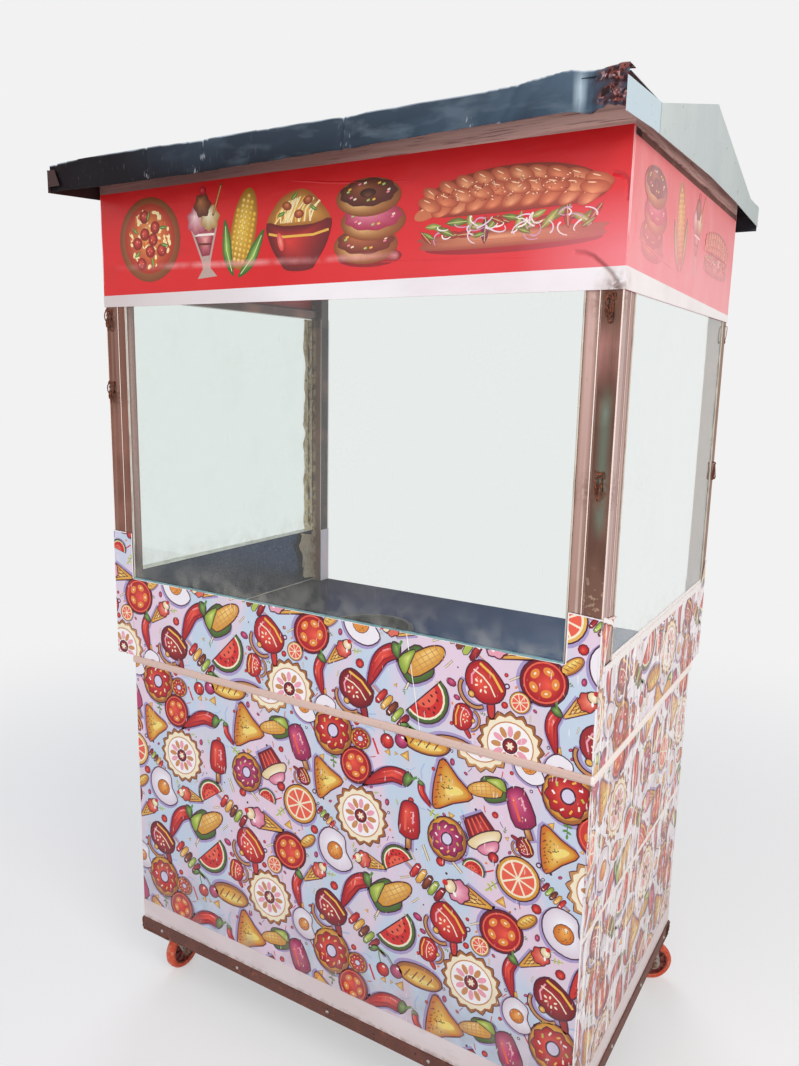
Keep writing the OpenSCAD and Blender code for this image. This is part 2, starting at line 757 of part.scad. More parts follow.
// Roof sheet: one sheet with level eaves strips and a folded ridge
module roof_sheet() {
    line = [[sheet_y0, eave_z], [front_break, eave_z], [ridge_back, ridge_z], [rear_break, eave_z],
        [sheet_y1, eave_z]];
    under = [for (k = [len(line) - 1 : -1 : 0]) [line[k][0], line[k][1] - roof_t]];
    color("#2b2d33")
    plate_yz(-sheet_w / 2, sheet_w) polygon(concat(line, under));
}

// The front lip's face follows its dents; its hem runs back over the sheet to a straight edge
function lip_path(inset) = [for (d = lip_dents) [(d[0] - 0.5) * sheet_w, d[1] + inset]];

module lip_face() {
    polygon(concat(lip_path(0), [for (k = [len(lip_dents) - 1 : -1 : 0]) lip_path(roof_t)[k]]));
}

module lip_hem() {
    polygon(concat(lip_path(0), [[sheet_w / 2, hem_w], [-sheet_w / 2, hem_w]]));
}

module lip_outline() {
    polygon(concat([for (u = lip_lower) [(u[0] - 0.5) * sheet_w, u[1]]],
        [for (k = [len(lip_upper) - 1 : -1 : 0])
            [(lip_upper[k][0] - 0.5) * sheet_w, lip_h + lip_upper[k][1]]]));
}

module roof_lip_front() {
    color("#2b2d33")
    translate([0, -half_d + face_in, lip_z]) {
        intersection() {
            linear_extrude(lip_h + 20) lip_face();
            plate_xz(-1, hem_w) lip_outline();
        }
        translate([0, 0, lip_h - roof_t]) linear_extrude(roof_t) lip_hem();
    }
}

module roof_lip_rear() {
    color("#2b2d33")
    plate_yz(-sheet_w / 2, sheet_w)
    translate([half_d - face_in, lip_z])
    polygon([[0, 0], [0, lip_h], [-hem_w, lip_h], [-hem_w, lip_h - roof_t],
        [-roof_t, lip_h - roof_t], [-roof_t, 0]]);
}

// Gable: a plate that closes the roof's end, its lower edge bowed up
module gable() {
    plate_yz(half_w - roof_t, roof_t)
    polygon([[-half_d, lip_z], [-half_d, lip_top - 11], [front_break, eave_z], [ridge_back, ridge_z],
        [rear_break, eave_z], [half_d, eave_z - 1], [half_d, lip_z + 11], [half_d * 0.5, lip_z + 19],
        [0, lip_z + 21], [-half_d * 0.75, lip_z + 9]]);
}

module gable_right() {
    color("#b9c4c6") gable();
}

// The left gable is folded over the ends of both lips
module gable_left() {
    color("#b9c4c6") {
        mirror([1, 0, 0]) gable();
        for (y = [-half_d, half_d - roof_t])
            plate_xz(y, roof_t)
            polygon([[-half_w, lip_z + 12], [-half_w + gable_tab, lip_z + 12],
                [-half_w + gable_tab * 0.6, lip_top - 12], [-half_w, lip_top - 12]]);
    }
}

base_frame();
castor_plates();
castor_fork(0, 0);  // castor_fork_fl
castor_fork(1, 0);  // castor_fork_fr
castor_fork(0, 1);  // castor_fork_rl
castor_fork(1, 1);  // castor_fork_rr
castor_wheel(0, 0);  // castor_wheel_fl
castor_wheel(1, 0);  // castor_wheel_fr
castor_wheel(0, 1);  // castor_wheel_rl
castor_wheel(1, 1);  // castor_wheel_rr
cabinet_frame();
cabinet_floor();
cabinet_long_panel(cab_y0);  // cabinet_front
cabinet_side_panel(cab_x0);  // cabinet_left
cabinet_side_panel(cab_x1 - sheet_t);  // cabinet_right
cabinet_long_panel(cab_y1 - sheet_t);  // cabinet_rear
skirting();
seam_strips();
counter_bottom();
counter_frame();
counter_front();
counter_left();
counter_right();
counter_rear();
counter_tray();
burner_well();
corner_post(0, 0);  // post_front_left
corner_post(1, 0);  // post_front_right
corner_post(0, 1);  // post_rear_left
corner_post(1, 1);  // post_rear_right
window_jambs();
window_heads();
glass_front();
glass_side(x0 + glass_in);  // glass_left
glass_side(x1 - glass_in - glass_t);  // glass_right
tie_hooks();
fascia_frame();
fascia_long(y0, fascia_z);  // fascia_front
fascia_side(x0, head_z);  // fascia_left
fascia_side(x1 - fascia_t, fascia_z);  // fascia_right
fascia_long(y1 - fascia_t, rear_foot_z);  // fascia_rear
fascia_band();
roof_battens();
roof_frame();
roof_sheet();
roof_lip_front();
roof_lip_rear();
gable_left();
gable_right();
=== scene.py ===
# Street food kiosk on castors: the finishes and fittings around its packed construction.
# Lengths are in metres, or in millimetres where a name ends in _mm. The front faces -Y.
import json
import math
import random
from math import cos, sin
from typing import NamedTuple

import bmesh
import bpy
import numpy as np
from mathutils import Matrix, Vector, geometry, noise
from mathutils.bvhtree import BVHTree


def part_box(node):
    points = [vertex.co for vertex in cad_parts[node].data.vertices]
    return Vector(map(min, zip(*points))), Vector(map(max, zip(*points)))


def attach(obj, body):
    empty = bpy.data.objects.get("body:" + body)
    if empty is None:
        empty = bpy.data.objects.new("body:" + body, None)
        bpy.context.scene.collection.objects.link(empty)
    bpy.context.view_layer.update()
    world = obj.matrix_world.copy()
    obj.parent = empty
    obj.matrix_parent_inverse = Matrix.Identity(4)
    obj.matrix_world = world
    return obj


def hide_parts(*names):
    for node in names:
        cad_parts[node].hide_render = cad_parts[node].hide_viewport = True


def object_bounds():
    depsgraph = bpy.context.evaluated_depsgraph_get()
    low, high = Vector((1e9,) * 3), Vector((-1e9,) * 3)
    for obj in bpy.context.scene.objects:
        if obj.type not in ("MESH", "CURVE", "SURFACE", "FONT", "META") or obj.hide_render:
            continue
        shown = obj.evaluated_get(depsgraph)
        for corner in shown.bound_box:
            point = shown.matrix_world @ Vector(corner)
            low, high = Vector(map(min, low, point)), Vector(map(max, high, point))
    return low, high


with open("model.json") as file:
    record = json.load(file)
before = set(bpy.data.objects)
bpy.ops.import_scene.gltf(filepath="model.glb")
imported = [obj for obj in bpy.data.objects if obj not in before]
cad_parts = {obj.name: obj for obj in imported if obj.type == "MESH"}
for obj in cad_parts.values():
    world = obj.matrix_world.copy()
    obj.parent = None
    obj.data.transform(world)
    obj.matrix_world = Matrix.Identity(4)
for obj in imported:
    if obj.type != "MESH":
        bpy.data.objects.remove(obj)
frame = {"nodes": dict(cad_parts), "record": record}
cad_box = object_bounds()
NODES = frame["nodes"]
MM = 0.001

# The photograph's camera: where it stands, how it is turned, and its lens in pixels
CAMERA_AT = (1.0333, -1.8074, 1.5595)
CAMERA_TURN = 31.148
CAMERA_TILT = -10.405
CAMERA_ROLL = 1.185
LENS_PX = 849.83
PHOTO_H_PX = 1066
SENSOR_MM = 36.0


def colour(code):
    """An sRGB hex code as linear red, green, blue and alpha."""
    parts = [int(code[k:k + 2], 16) / 255 for k in (1, 3, 5)]
    return tuple(c / 12.92 if c <= 0.04045 else ((c + 0.055) / 1.055) ** 2.4 for c in parts) + (1.0,)


def feed(tree, socket, value):
    """Sets an input to a value, or to what a socket gives, or a node by its first socket."""
    if isinstance(value, bpy.types.Node):
        value = value.outputs[0]
    if isinstance(value, bpy.types.NodeSocket):
        tree.links.new(value, socket)
    else:
        socket.default_value = value


def add(tree, kind, inputs=None, **settings):
    """Adds a node. inputs maps a socket's name or number to its value, or to what feeds it."""
    made = tree.nodes.new(kind)
    for key, value in settings.items():
        setattr(made, key, value)
    for key, value in (inputs or {}).items():
        feed(tree, made.inputs[key], value)
    return made


class Mask:
    """Where a layer shows: it adds its nodes to a material and gives a 0 to 1 socket. Masks multiply."""

    def __init__(self, draw):
        self.draw = draw

    def __call__(self, tree, where):
        return self.draw(tree, where)

    def __mul__(self, other):
        @Mask
        def product(tree, where):
            share = other(tree, where) if callable(other) else other
            return add(tree, "ShaderNodeMath", {0: self(tree, where), 1: share}, operation="MULTIPLY")
        return product


def patches(size_mm, low, high, offset=0.0, x=1, y=1, z=1, detail=4.0, warp=0.0):
    """Soft patches about size_mm across, which start at low and are full at high. x, y or z under 1
    draws them out along that axis."""
    @Mask
    def mask(tree, where):
        place = add(tree, "ShaderNodeMapping",
                    {"Vector": where, "Location": (offset,) * 3, "Scale": (x, y, z)})
        cloud = add(tree, "ShaderNodeTexNoise", {"Vector": place, "Scale": 1000 / size_mm,
                                                 "Detail": detail, "Distortion": warp})
        return add(tree, "ShaderNodeMapRange", {"Value": cloud, "From Min": low, "From Max": high})
    return mask


def uneven(size_mm, height_mm, low=0.3, offset=0.0, **drawn):
    """The relief of one finish: soft patches that rise by height_mm."""
    return [(patches(size_mm, low, 0.7, offset, **drawn), height_mm)]


def along(axis, start, full):
    """0 at the place start on an axis and 1 at the place full."""
    @Mask
    def mask(tree, where):
        axes = add(tree, "ShaderNodeSeparateXYZ", {0: where})
        return add(tree, "ShaderNodeMapRange",
                   {"Value": axes.outputs[axis], "From Min": start, "From Max": full})
    return mask


def stripe(axis, low, high, soft=0.004):
    """A band between two places on an axis, with soft edges inside it."""
    return along(axis, low, low + soft) * along(axis, high, high - soft)


def beside(*paths, reach_mm):
    """Full along some paths, or at some places, in metres, and 0 at reach_mm from them."""
    @Mask
    def mask(tree, where):
        nearest = 1.0
        for path in paths:
            for a, b in zip(path, path[1:] or path):
                way = Vector(b) - Vector(a)
                along_it = way / (way.length_squared or 1)
                offset = add(tree, "ShaderNodeVectorMath", {0: where, 1: a}, operation="SUBTRACT")
                foot = add(tree, "ShaderNodeVectorMath", {0: offset, 1: along_it}, operation="DOT_PRODUCT")
                foot = add(tree, "ShaderNodeClamp", {0: foot.outputs["Value"]})
                foot = add(tree, "ShaderNodeVectorMath", {0: way, "Scale": foot}, operation="SCALE")
                far = add(tree, "ShaderNodeVectorMath", {0: offset, 1: foot}, operation="DISTANCE")
                nearest = add(tree, "ShaderNodeMath", {0: nearest, 1: far.outputs["Value"]},
                              operation="MINIMUM")
        return add(tree, "ShaderNodeMapRange",
                   {"Value": nearest, "From Min": reach_mm * MM, "From Max": 0.0})
    return mask


def carried(attribute, low, high):
    """The share that a piece's own attribute carries."""
    @Mask
    def mask(tree, where):
        value = add(tree, "ShaderNodeAttribute", attribute_name=attribute).outputs["Fac"]
        return add(tree, "ShaderNodeMapRange", {"Value": value, "From Min": low, "From Max": high})
    return mask


def blank(name):
    """A material with no nodes but its object coordinates."""
    made = bpy.data.materials.new(name)
    made.use_nodes = True
    made.node_tree.nodes.clear()
    return made, made.node_tree, add(made.node_tree, "ShaderNodeTexCoord").outputs["Object"]


def finish(name, base, roughness, layers=(), bumps=(), metallic=0.0, **sockets):
    """A material. base is a hex code or a function that gives a socket. Each layer is a mask, a hex
    code and a roughness, with a metal share where that changes. Each bump is a mask and a height in mm."""
    made, tree, where = blank(name)
    shader = add(tree, "ShaderNodeBsdfPrincipled",
                 {key.replace("_", " "): value for key, value in sockets.items()})
    add(tree, "ShaderNodeOutputMaterial", {"Surface": shader})
    tone = base(tree, where) if callable(base) else colour(base)
    rough, metal = roughness, metallic
    for mask, paint, gloss, *share in layers:
        cover = mask(tree, where)
        tone = add(tree, "ShaderNodeMix", {0: cover, 6: tone, 7: colour(paint)},
                   data_type="RGBA").outputs[2]
        if gloss is not None:
            rough = add(tree, "ShaderNodeMix", {0: cover, 2: rough, 3: gloss})
        if share:
            metal = add(tree, "ShaderNodeMix", {0: cover, 2: metal, 3: share[0]})
    relief = None
    for mask, height_mm in bumps:
        settings = {"Height": mask(tree, where), "Strength": 1.0, "Distance": height_mm * MM}
        if relief:
            settings["Normal"] = relief
        relief = add(tree, "ShaderNodeBump", settings)
    for key, value in (("Base Color", tone), ("Roughness", rough), ("Metallic", metal), ("Normal", relief)):
        if value is not None:
            feed(tree, shader.inputs[key], value)
    return made


# Brown enamel brushed on angle iron and rusted through: dull, pitted, orange where it is fresh
RUSTED_ENAMEL = finish("enamel_rusted", "#5E352B", 0.62,
    [(patches(70, 0.42, 0.62), "#70443A", 0.75), (patches(14, 0.6, 0.7, 3) * 0.7, "#8E5440", 0.85),
     (patches(7, 0.62, 0.68, 7), "#3E2620", 0.9)],
    uneven(5, 0.3, 0.35))

# Zinc-plated pressed steel, gone dull and rusty at its edges: grey with brown stains
CASTOR_ZINC = finish("zinc_plated_pressed", "#A39A92", 0.42,
    [(patches(22, 0.44, 0.6), "#8A6A58", 0.6, 0.5), (patches(8, 0.52, 0.62, 2), "#5A3222", 0.85, 0.0)],
    uneven(4, 0.15, 0.35), metallic=0.85)

# Polyurethane tread, moulded: an orange-red skin, scuffed pale and dusty where it rolls
WHEEL_TREAD = finish("polyurethane_moulded", "#D65334", 0.5,
    [(patches(12, 0.5, 0.68) * 0.6, "#E39A7C", 0.7), (patches(4, 0.6, 0.68, 5) * 0.7, "#6A2E22", 0.8)],
    uneven(3, 0.2, 0.35), Specular_IOR_Level=0.4)

# Polypropylene wheel core, moulded: dark red-brown with dust in its corners
WHEEL_CORE = finish("polypropylene_moulded", "#6A2420", 0.45,
    [(patches(9, 0.5, 0.7), "#8A5A4A", 0.8)],
    uneven(3, 0.1, 0.35))

# Red oxide primer on mild steel tube, brushed: flat, with dust and a few bare scratches
PRIMED_TUBE = finish("red_oxide_primer", "#6E4038", 0.75,
    [(patches(60, 0.45, 0.65), "#855046", 0.8), (patches(9, 0.62, 0.68, z=0.04) * 0.4, "#96847C", 0.6)],
    uneven(6, 0.15, 0.35))

# Galvanised sheet, hot dipped: dull grey with broad crystals
GALVANISED_SHEET = finish("zinc_hot_dipped", "#8E8A86", 0.5,
    [(patches(30, 0.4, 0.6, warp=2.0), "#A5A09A", 0.4), (patches(12, 0.6, 0.7, 4), "#6E5E54", 0.7)],
    uneven(20, 0.1), metallic=0.6)


def film_ground(tree, where):
    """The film's printed ground: broad diagonal clouds of pale blue and lilac pink."""
    place = add(tree, "ShaderNodeMapping",
                {"Vector": where, "Rotation": (0.5, 0.9, 0.3), "Scale": (1, 1, 0.45)})
    cloud = add(tree, "ShaderNodeTexNoise", {"Vector": place, "Scale": 1000 / FILM_CLOUD_MM,
                                             "Detail": 1.5, "Distortion": 0.6})
    share = add(tree, "ShaderNodeMapRange", {"Value": cloud, "From Min": 0.43, "From Max": 0.57})
    return add(tree, "ShaderNodeMix", {0: share, 6: colour("#C3D1E1"), 7: colour("#E3CBDA")},
               data_type="RGBA").outputs[2]


FILM_CLOUD_MM = 150
# The right side is painted as if it stands in the sun: its ground painted paler, its skin drawn in crazed
# upright folds with painted white highlights and dark shade along them
SUNLIT_RIGHT_SIDE = along(0, 0.6065, 0.609)
FILM_DIRT_AND_PAINTED_LIGHT = [(along(2, 0.42, 0.17) * patches(55, 0.36, 0.6) * 0.55, "#9A8A86", 0.6),
    (patches(5, 0.66, 0.7, z=0.15) * 0.7, "#F4EEEC", 0.5),
    # Painted highlights and shade: white and dark streaks along the folds of the sunlit right side
    (SUNLIT_RIGHT_SIDE * patches(13, 0.54, 0.6, 21, z=0.12) * patches(130, 0.4, 0.5, 2) * 0.95, "#FFFCFA", 0.4),
    (SUNLIT_RIGHT_SIDE * patches(8, 0.6, 0.64, 23, z=0.16) * 0.5, "#9A4A50", 0.5),
    (patches(90, 0.5, 0.8, 9), "#D8CCD2", None)]
FILM_RELIEF = [(patches(45, 0.3, 0.7, z=0.5), 0.7), (patches(9, 0.4, 0.7, z=0.3), 0.08),
    (SUNLIT_RIGHT_SIDE * patches(24, 0.3, 0.7, 5, z=0.12), 5.0)]

# Cast vinyl film, printed and laminated: a pale cloudy ground with a satin skin, bubbles and dirt, painted
# paler on the sunlit right side as sunlight
PRINTED_FILM = finish("vinyl_film_printed", film_ground, 0.38,
    # Painted sunlight: the right side paler
    [(SUNLIT_RIGHT_SIDE * 0.85, "#FBF2F5", 0.38), *FILM_DIRT_AND_PAINTED_LIGHT],
    FILM_RELIEF, Specular_IOR_Level=0.35)


def ink(tree, where):
    """The colour that each printed shape carries."""
    return add(tree, "ShaderNodeAttribute", attribute_name="ink").outputs["Color"]


# The same film's inks: opaque colour under the laminate, so they share its relief, dirt and painted light,
# and they are painted paler on the sunlit right side
FILM_INKS = finish("vinyl_film_inks", ink, 0.36,
    # Painted sunlight: the right side paler
    [(SUNLIT_RIGHT_SIDE * 0.13, "#FFDCCC", None), *FILM_DIRT_AND_PAINTED_LIGHT[:4]],
    FILM_RELIEF, Specular_IOR_Level=0.35)

# Creases in the banner's front, by distance along it and height: one is painted dark with shade and dirt,
# the long one carries a painted highlight, and the thin one painted shade
CREASES = [[(0.525, 1.765), (0.54, 1.763), (0.555, 1.757), (0.573, 1.742), (0.587, 1.729), (0.597, 1.714)],
    [(-0.57, 1.79), (-0.283, 1.784), (-0.12, 1.781), (0.18, 1.778)],
    [(0.58, 1.881), (0.593, 1.878), (0.601, 1.871), (0.604, 1.862), (0.6045, 1.842)]]
SHADED_DIRTY_CREASE, LONG_CREASE, THIN_CREASE = [[(x, -0.43, z) for x, z in path] for path in CREASES]
BANNER_RELIEF = [(patches(120, 0.3, 0.7, x=0.5), 1.6), (patches(0.9, 0.3, 0.7, detail=1.0), 0.03),
    (beside(SHADED_DIRTY_CREASE, THIN_CREASE, reach_mm=5), -2.0)]

# Paler, pinker red low towards the near corner; the right side painted paler as sunlight, with painted
# glare in patches; a painted highlight along the long crease, painted shade with dirt along the crease near
# the corner, and painted shade along the thin one
BANNER_PAINTED_LIGHT_AND_DIRT = [(along(0, -0.1, 0.6) * along(2, 1.93, 1.77) * 0.3, "#EE6A74", 0.34),
    (along(0, 0.42, 0.6) * along(2, 1.86, 1.76) * 0.45, "#F7A6AE", 0.34),
    # Painted sunlight on the right side, strongest low down, away from the roof's shade
    (SUNLIT_RIGHT_SIDE * along(2, 2.05, 1.8) * 0.34, "#F4969E", 0.34),
    # Painted highlight along the long crease
    (beside(LONG_CREASE, reach_mm=9) * along(0, -0.58, -0.35) * patches(50, 0.3, 0.6) * 0.6, "#F0A6A4",
     0.34),
    # Painted shade and dirt along the crease near the corner, and painted shade along the thin crease
    (beside(SHADED_DIRTY_CREASE, reach_mm=5) * along(0, 0.515, 0.56) * 0.75, "#8A2A30", 0.45),
    (beside(THIN_CREASE, reach_mm=4) * 0.4, "#A8333C", 0.4),
    # Painted glare in soft patches on the right side
    (SUNLIT_RIGHT_SIDE * patches(60, 0.48, 0.75, 4, z=0.4) * 0.16, "#FAD4D6", 0.34)]

# Flex banner, printed and stretched on board: glossy red with long soft waves and a fine weave
BANNER_VINYL = finish("flex_banner_printed", "#D2171B", 0.34,
    [(patches(260, 0.4, 0.7) * 0.6, "#DC2A2A", 0.4),
     (patches(60, 0.55, 0.75, x=0.4) * 0.35, "#B4141A", 0.3), *BANNER_PAINTED_LIGHT_AND_DIRT,
     # Painted sunlight: the right side paler
     (SUNLIT_RIGHT_SIDE * 0.16, "#F6B4B8", 0.34)],
    BANNER_RELIEF)

# The banner's printed pictures, under the same gloss and weave, and the same painted light and dirt
BANNER_INKS = finish("flex_banner_inks", ink, 0.36,
    [(patches(3.5, 0.55, 0.68) * 0.14, "#5A2818", None), *BANNER_PAINTED_LIGHT_AND_DIRT],
    BANNER_RELIEF)

BAND_GRIME = (0.594, -0.4305, 1.706)
# White banner hem: satin, faintly greyed by dust, painted darker towards its left end as shade, dark along
# the crease with painted shade and dirt, brown with grime where it meets the near post's head
WHITE_BAND = finish("flex_banner_white", "#EFE9EA", 0.38,
    [(patches(150, 0.45, 0.7, x=0.5) * 0.7, "#E2D8DA", 0.5),
     (beside([BAND_GRIME], reach_mm=42) * patches(24, 0.36, 0.6), "#A8887C", 0.6),
     # Painted shade: darker towards the left end
     (along(0, -0.05, -0.55) * 0.8, "#C9BAB6", 0.5),
     # Painted shade and dirt along the crease
     (beside(SHADED_DIRTY_CREASE, reach_mm=5) * 0.8, "#8A6A60", 0.6),
     (beside([BAND_GRIME], reach_mm=20) * patches(8, 0.36, 0.56), "#5E4438", 0.7)],
    BANNER_RELIEF)

# Self-adhesive PVC skirting, calendered: pinkish white, lightly scuffed, splashed with mud at its foot
PALE_SKIRTING = finish("pvc_skirting", "#E4D6D5", 0.42,
    [(patches(140, 0.44, 0.66, x=0.5, y=0.5) * 0.7, "#D9C7C5", 0.5),
     (patches(30, 0.58, 0.74, 2, x=0.4, y=0.4) * 0.4, "#C4AFAA", 0.55),
     (along(2, 0.176, 0.165) * patches(16, 0.42, 0.62) * 0.7, "#A58A7E", 0.7),
     (patches(3, 0.72, 0.76, 4, x=0.3, y=0.3) * 0.5, "#9A7A70", 0.7)],
    uneven(60, 0.5))

# PVC edge moulding, extruded: a pink-beige satin strip with a soft line of dirt, painted near white on the
# sunlit right side as sunlight
PALE_MOULDING = finish("pvc_moulding", "#D8B9AC", 0.36,
    # Painted sunlight: the right side near white
    [(patches(50, 0.45, 0.65, x=0.04), "#C9A598", 0.45), (SUNLIT_RIGHT_SIDE * 0.95, "#FBF0EA", 0.36),
     (patches(5, 0.66, 0.72) * 0.6, "#8E6A5E", 0.7)],
    uneven(40, 0.2))

# The outer face of the near post, where the tube is painted dull and dark as its reflection, and the jamb
# beside it, painted bright as a highlight
NEAR_FACE = stripe(0, 0.5705, 0.6075, 0.003) * along(1, -0.4265, -0.4275)
NEAR_JAMB = stripe(0, 0.545, 0.568, 0.007) * along(1, -0.4265, -0.4275)
REAR_TUBES = along(1, 0.33, 0.3565)


def stainless(name, grain, reach):
    """Polished stainless, painted warm brown as its reflection: long soft bands of painted reflection
    follow the grain, the posts' faces carry painted reflection, highlight and shade, and near the wire
    hooks it is stained brown.
    """
    return finish(name, "#B49186", 0.24,
        # Painted reflections: dark and pale soft bands along the grain
        [(patches(30, 0.4, 0.56, **grain, detail=0.0) * 0.85, "#84604F", 0.26),
         (patches(11, 0.57, 0.67, 4, **grain, detail=0.0) * 0.6, "#E6D0C6", 0.18),
         # Painted highlight: the near jamb paler above the rim
         (NEAR_JAMB * along(2, 1.15, 1.6) * 0.85, "#E6C0B8", 0.22),
         # Painted reflection: the posts' right-hand faces redder; painted shade and reflection: the far
         # left posts darker and redder
         (along(0, 0.607, 0.6074) * 0.4, "#B07C74", 0.24), (along(0, -0.54, -0.546) * 0.8, "#7E5346", 0.22),
         # Painted reflections on the near post's outer face: dark brown, a pale pink patch and a grey-green
         # band, with darker patches and paler spots low down
         (NEAR_FACE, "#826054", 0.2),
         (NEAR_FACE * stripe(2, 1.54, 1.66, 0.04) * patches(22, 0.3, 0.5, **grain), "#BE8880", 0.24),
         (NEAR_FACE * stripe(2, 1.29, 1.56, 0.05) * stripe(0, 0.576, 0.604, 0.012) * 0.9, "#8A9A8A", 0.2),
         (NEAR_FACE * patches(70, 0.46, 0.6, 12, z=0.4) * 0.4, "#4A3029", 0.4),
         (NEAR_FACE * along(2, 1.25, 1.2) * patches(14, 0.56, 0.62, 15), "#B59A86", 0.5),
         (REAR_TUBES * 0.85, "#7E604C", 0.6, 0.1),
         (REAR_TUBES * along(1, 0.359, 0.3582) * along(0, -0.586, -0.597) * patches(16, 0.42, 0.54),
          "#C8AE89", 0.6),
         # Painted shade: the rear left post's inner side face dark
         (REAR_TUBES * along(0, -0.5702, -0.5697) * along(0, 0.0, -0.01), "#2E2426", 0.4),
         # Painted shade: dark above 1.706 m, under the fascia
         (along(2, 1.7, 1.706) * 0.75, "#4C4645", 0.3), (patches(120, 0.5, 0.72, 6) * 0.5, "#A8776A", 0.3),
         (patches(14, 0.64, 0.76, 8, z=0.25) * 0.6, "#7A4A36", 0.5, 0.5),
         (beside(*reach, reach_mm=46) * patches(9, 0.36, 0.56, 2), "#6E4634", 0.6, 0.35)],
        uneven(110, 0.35, z=0.3), metallic=1.0)


# Middles of the rust stains under the hooks, in metres
HOOK_STAINS = [[(x, -0.428, z)] for x, z in ((0.588, 1.692), (0.588, 1.375), (-0.597, 1.69), (-0.597, 1.5))]

# Stainless tube, polished along its length: long soft bands of warm brown and silver painted as its
# reflections, and tea stains
STAINLESS_TUBE = stainless("stainless_polished", {"z": 0.012}, HOOK_STAINS)

# The same tube laid level: its painted reflection bands run along the rail
STAINLESS_RAIL = stainless("stainless_polished_rail", {"x": 0.012, "y": 0.012}, HOOK_STAINS[:1])

# Stainless sheet, bright rolled: blue-grey, partly its own tint and partly painted reflection; painted
# darker towards the left and on the left wall as shade and reflection, and brown at the rear left as
# painted reflection; with water marks and wiping scratches
STAINLESS_TRAY_SHEET = finish("stainless_sheet_rolled", "#4A6E96", 0.2,
    # Painted reflection and shade: darker towards the left, brown at the rear left, dark navy on the left
    # wall
    [(patches(220, 0.4, 0.65, warp=0.4), "#40638A", 0.26), (along(0, 0.35, -0.15) * 0.75, "#26395C", 0.24),
     (along(0, -0.1, -0.5) * along(1, -0.3, 0.35) * 0.5, "#4A4440", 0.24),
     (along(0, -0.604, -0.607) * 0.7, "#1C2A42", 0.3),
     (patches(5, 0.5, 0.64, 6, x=0.06) * 0.25, "#7C93B0", 0.34),
     (patches(5, 0.7, 0.74, 1) * 0.6, "#4A4642", 0.6, 0.3)],
    uneven(260, 0.8), metallic=1.0, Specular_Tint=colour("#9A9496"))

# Mild steel pressing, burnt by use: black-brown, matt, flaking
SOOTY_STEEL = finish("steel_sooted", "#26221F", 0.6,
    [(patches(25, 0.5, 0.68), "#4A3D34", 0.7), (patches(6, 0.56, 0.64, 3), "#141211", 0.85)],
    uneven(4, 0.3, 0.35), metallic=0.3)

# Bare iron rod and wire, rusted all over: deep orange-brown, rough
RUSTED_IRON = finish("iron_rusted", "#6A3A28", 0.8,
    [(patches(6, 0.45, 0.6), "#8A4E34", 0.85), (patches(3, 0.52, 0.6, 4), "#341D17", 0.9)],
    uneven(1.5, 0.2))

# Sawn softwood batten under thin salmon paint: long open grain, darker in the pores; painted lighter
# towards the right as light and darker towards the left as shade
BATTEN_WOOD = finish("softwood_sawn_painted", "#B5867E", 0.7,
    # Painted light and shade: lighter towards the right, darker towards the left
    [(along(0, 0.0, 0.55), "#F2C0B6", 0.66), (along(0, 0.15, -0.3) * 0.75, "#6E4644", 0.7),
     (patches(9, 0.46, 0.66, x=0.03, y=0.03, warp=0.3) * 0.6, "#A9736A", 0.78),
     (patches(2.6, 0.57, 0.68, 2, x=0.04, y=0.04) * 0.7, "#84504A", 0.85)],
    uneven(2.6, 0.25, 0.35, 2, x=0.04, y=0.04))

# Maroon primer on roof steel, brushed and thin: flat, with rust at the welds
MAROON_PRIMER = finish("primer_maroon", "#7B3A3C", 0.7,
    [(patches(40, 0.45, 0.65), "#8F4A48", 0.75), (patches(8, 0.6, 0.68, 3), "#4A2420", 0.85)],
    uneven(5, 0.15, 0.35))

ROOF_RUST = [(patches(60, 0.6, 0.72, 11, warp=1.5) * 0.7, "#3A2A28", 0.7),
    (patches(9, 0.69, 0.73, 2, warp=1.0) * 0.8, "#6A3C30", 0.85)]
ROOF_RELIEF = [(patches(160, 0.3, 0.7), 2.0), (patches(45, 0.3, 0.7, warp=0.6), 0.5)]

# Dark enamel on roof sheet, weathered: blue-black, chalked grey on its bulges, scratched bright
DARK_ROOF_PAINT = finish("enamel_weathered_dark", "#1B1D22", 0.38,
    [(patches(260, 0.4, 0.64, x=0.5), "#262B32", 0.34),
     (patches(90, 0.5, 0.72, 5, warp=1.2, x=0.6) * 0.7, "#3A434D", 0.32),
     (patches(4, 0.64, 0.72, 1, x=0.08) * 0.5, "#737C84", 0.4), *ROOF_RUST],
    ROOF_RELIEF, Specular_IOR_Level=0.3)

# Where the lip has been rubbed to its pale ground coat, in metres
LIP_SCUFFS = [[(x, -0.548, z)] for x, z in (
    (-0.332, 1.946), (-0.205, 1.94), (-0.183, 1.962), (0.14, 1.975), (0.149, 1.94), (0.38, 1.95),
    (0.612, 1.975))]

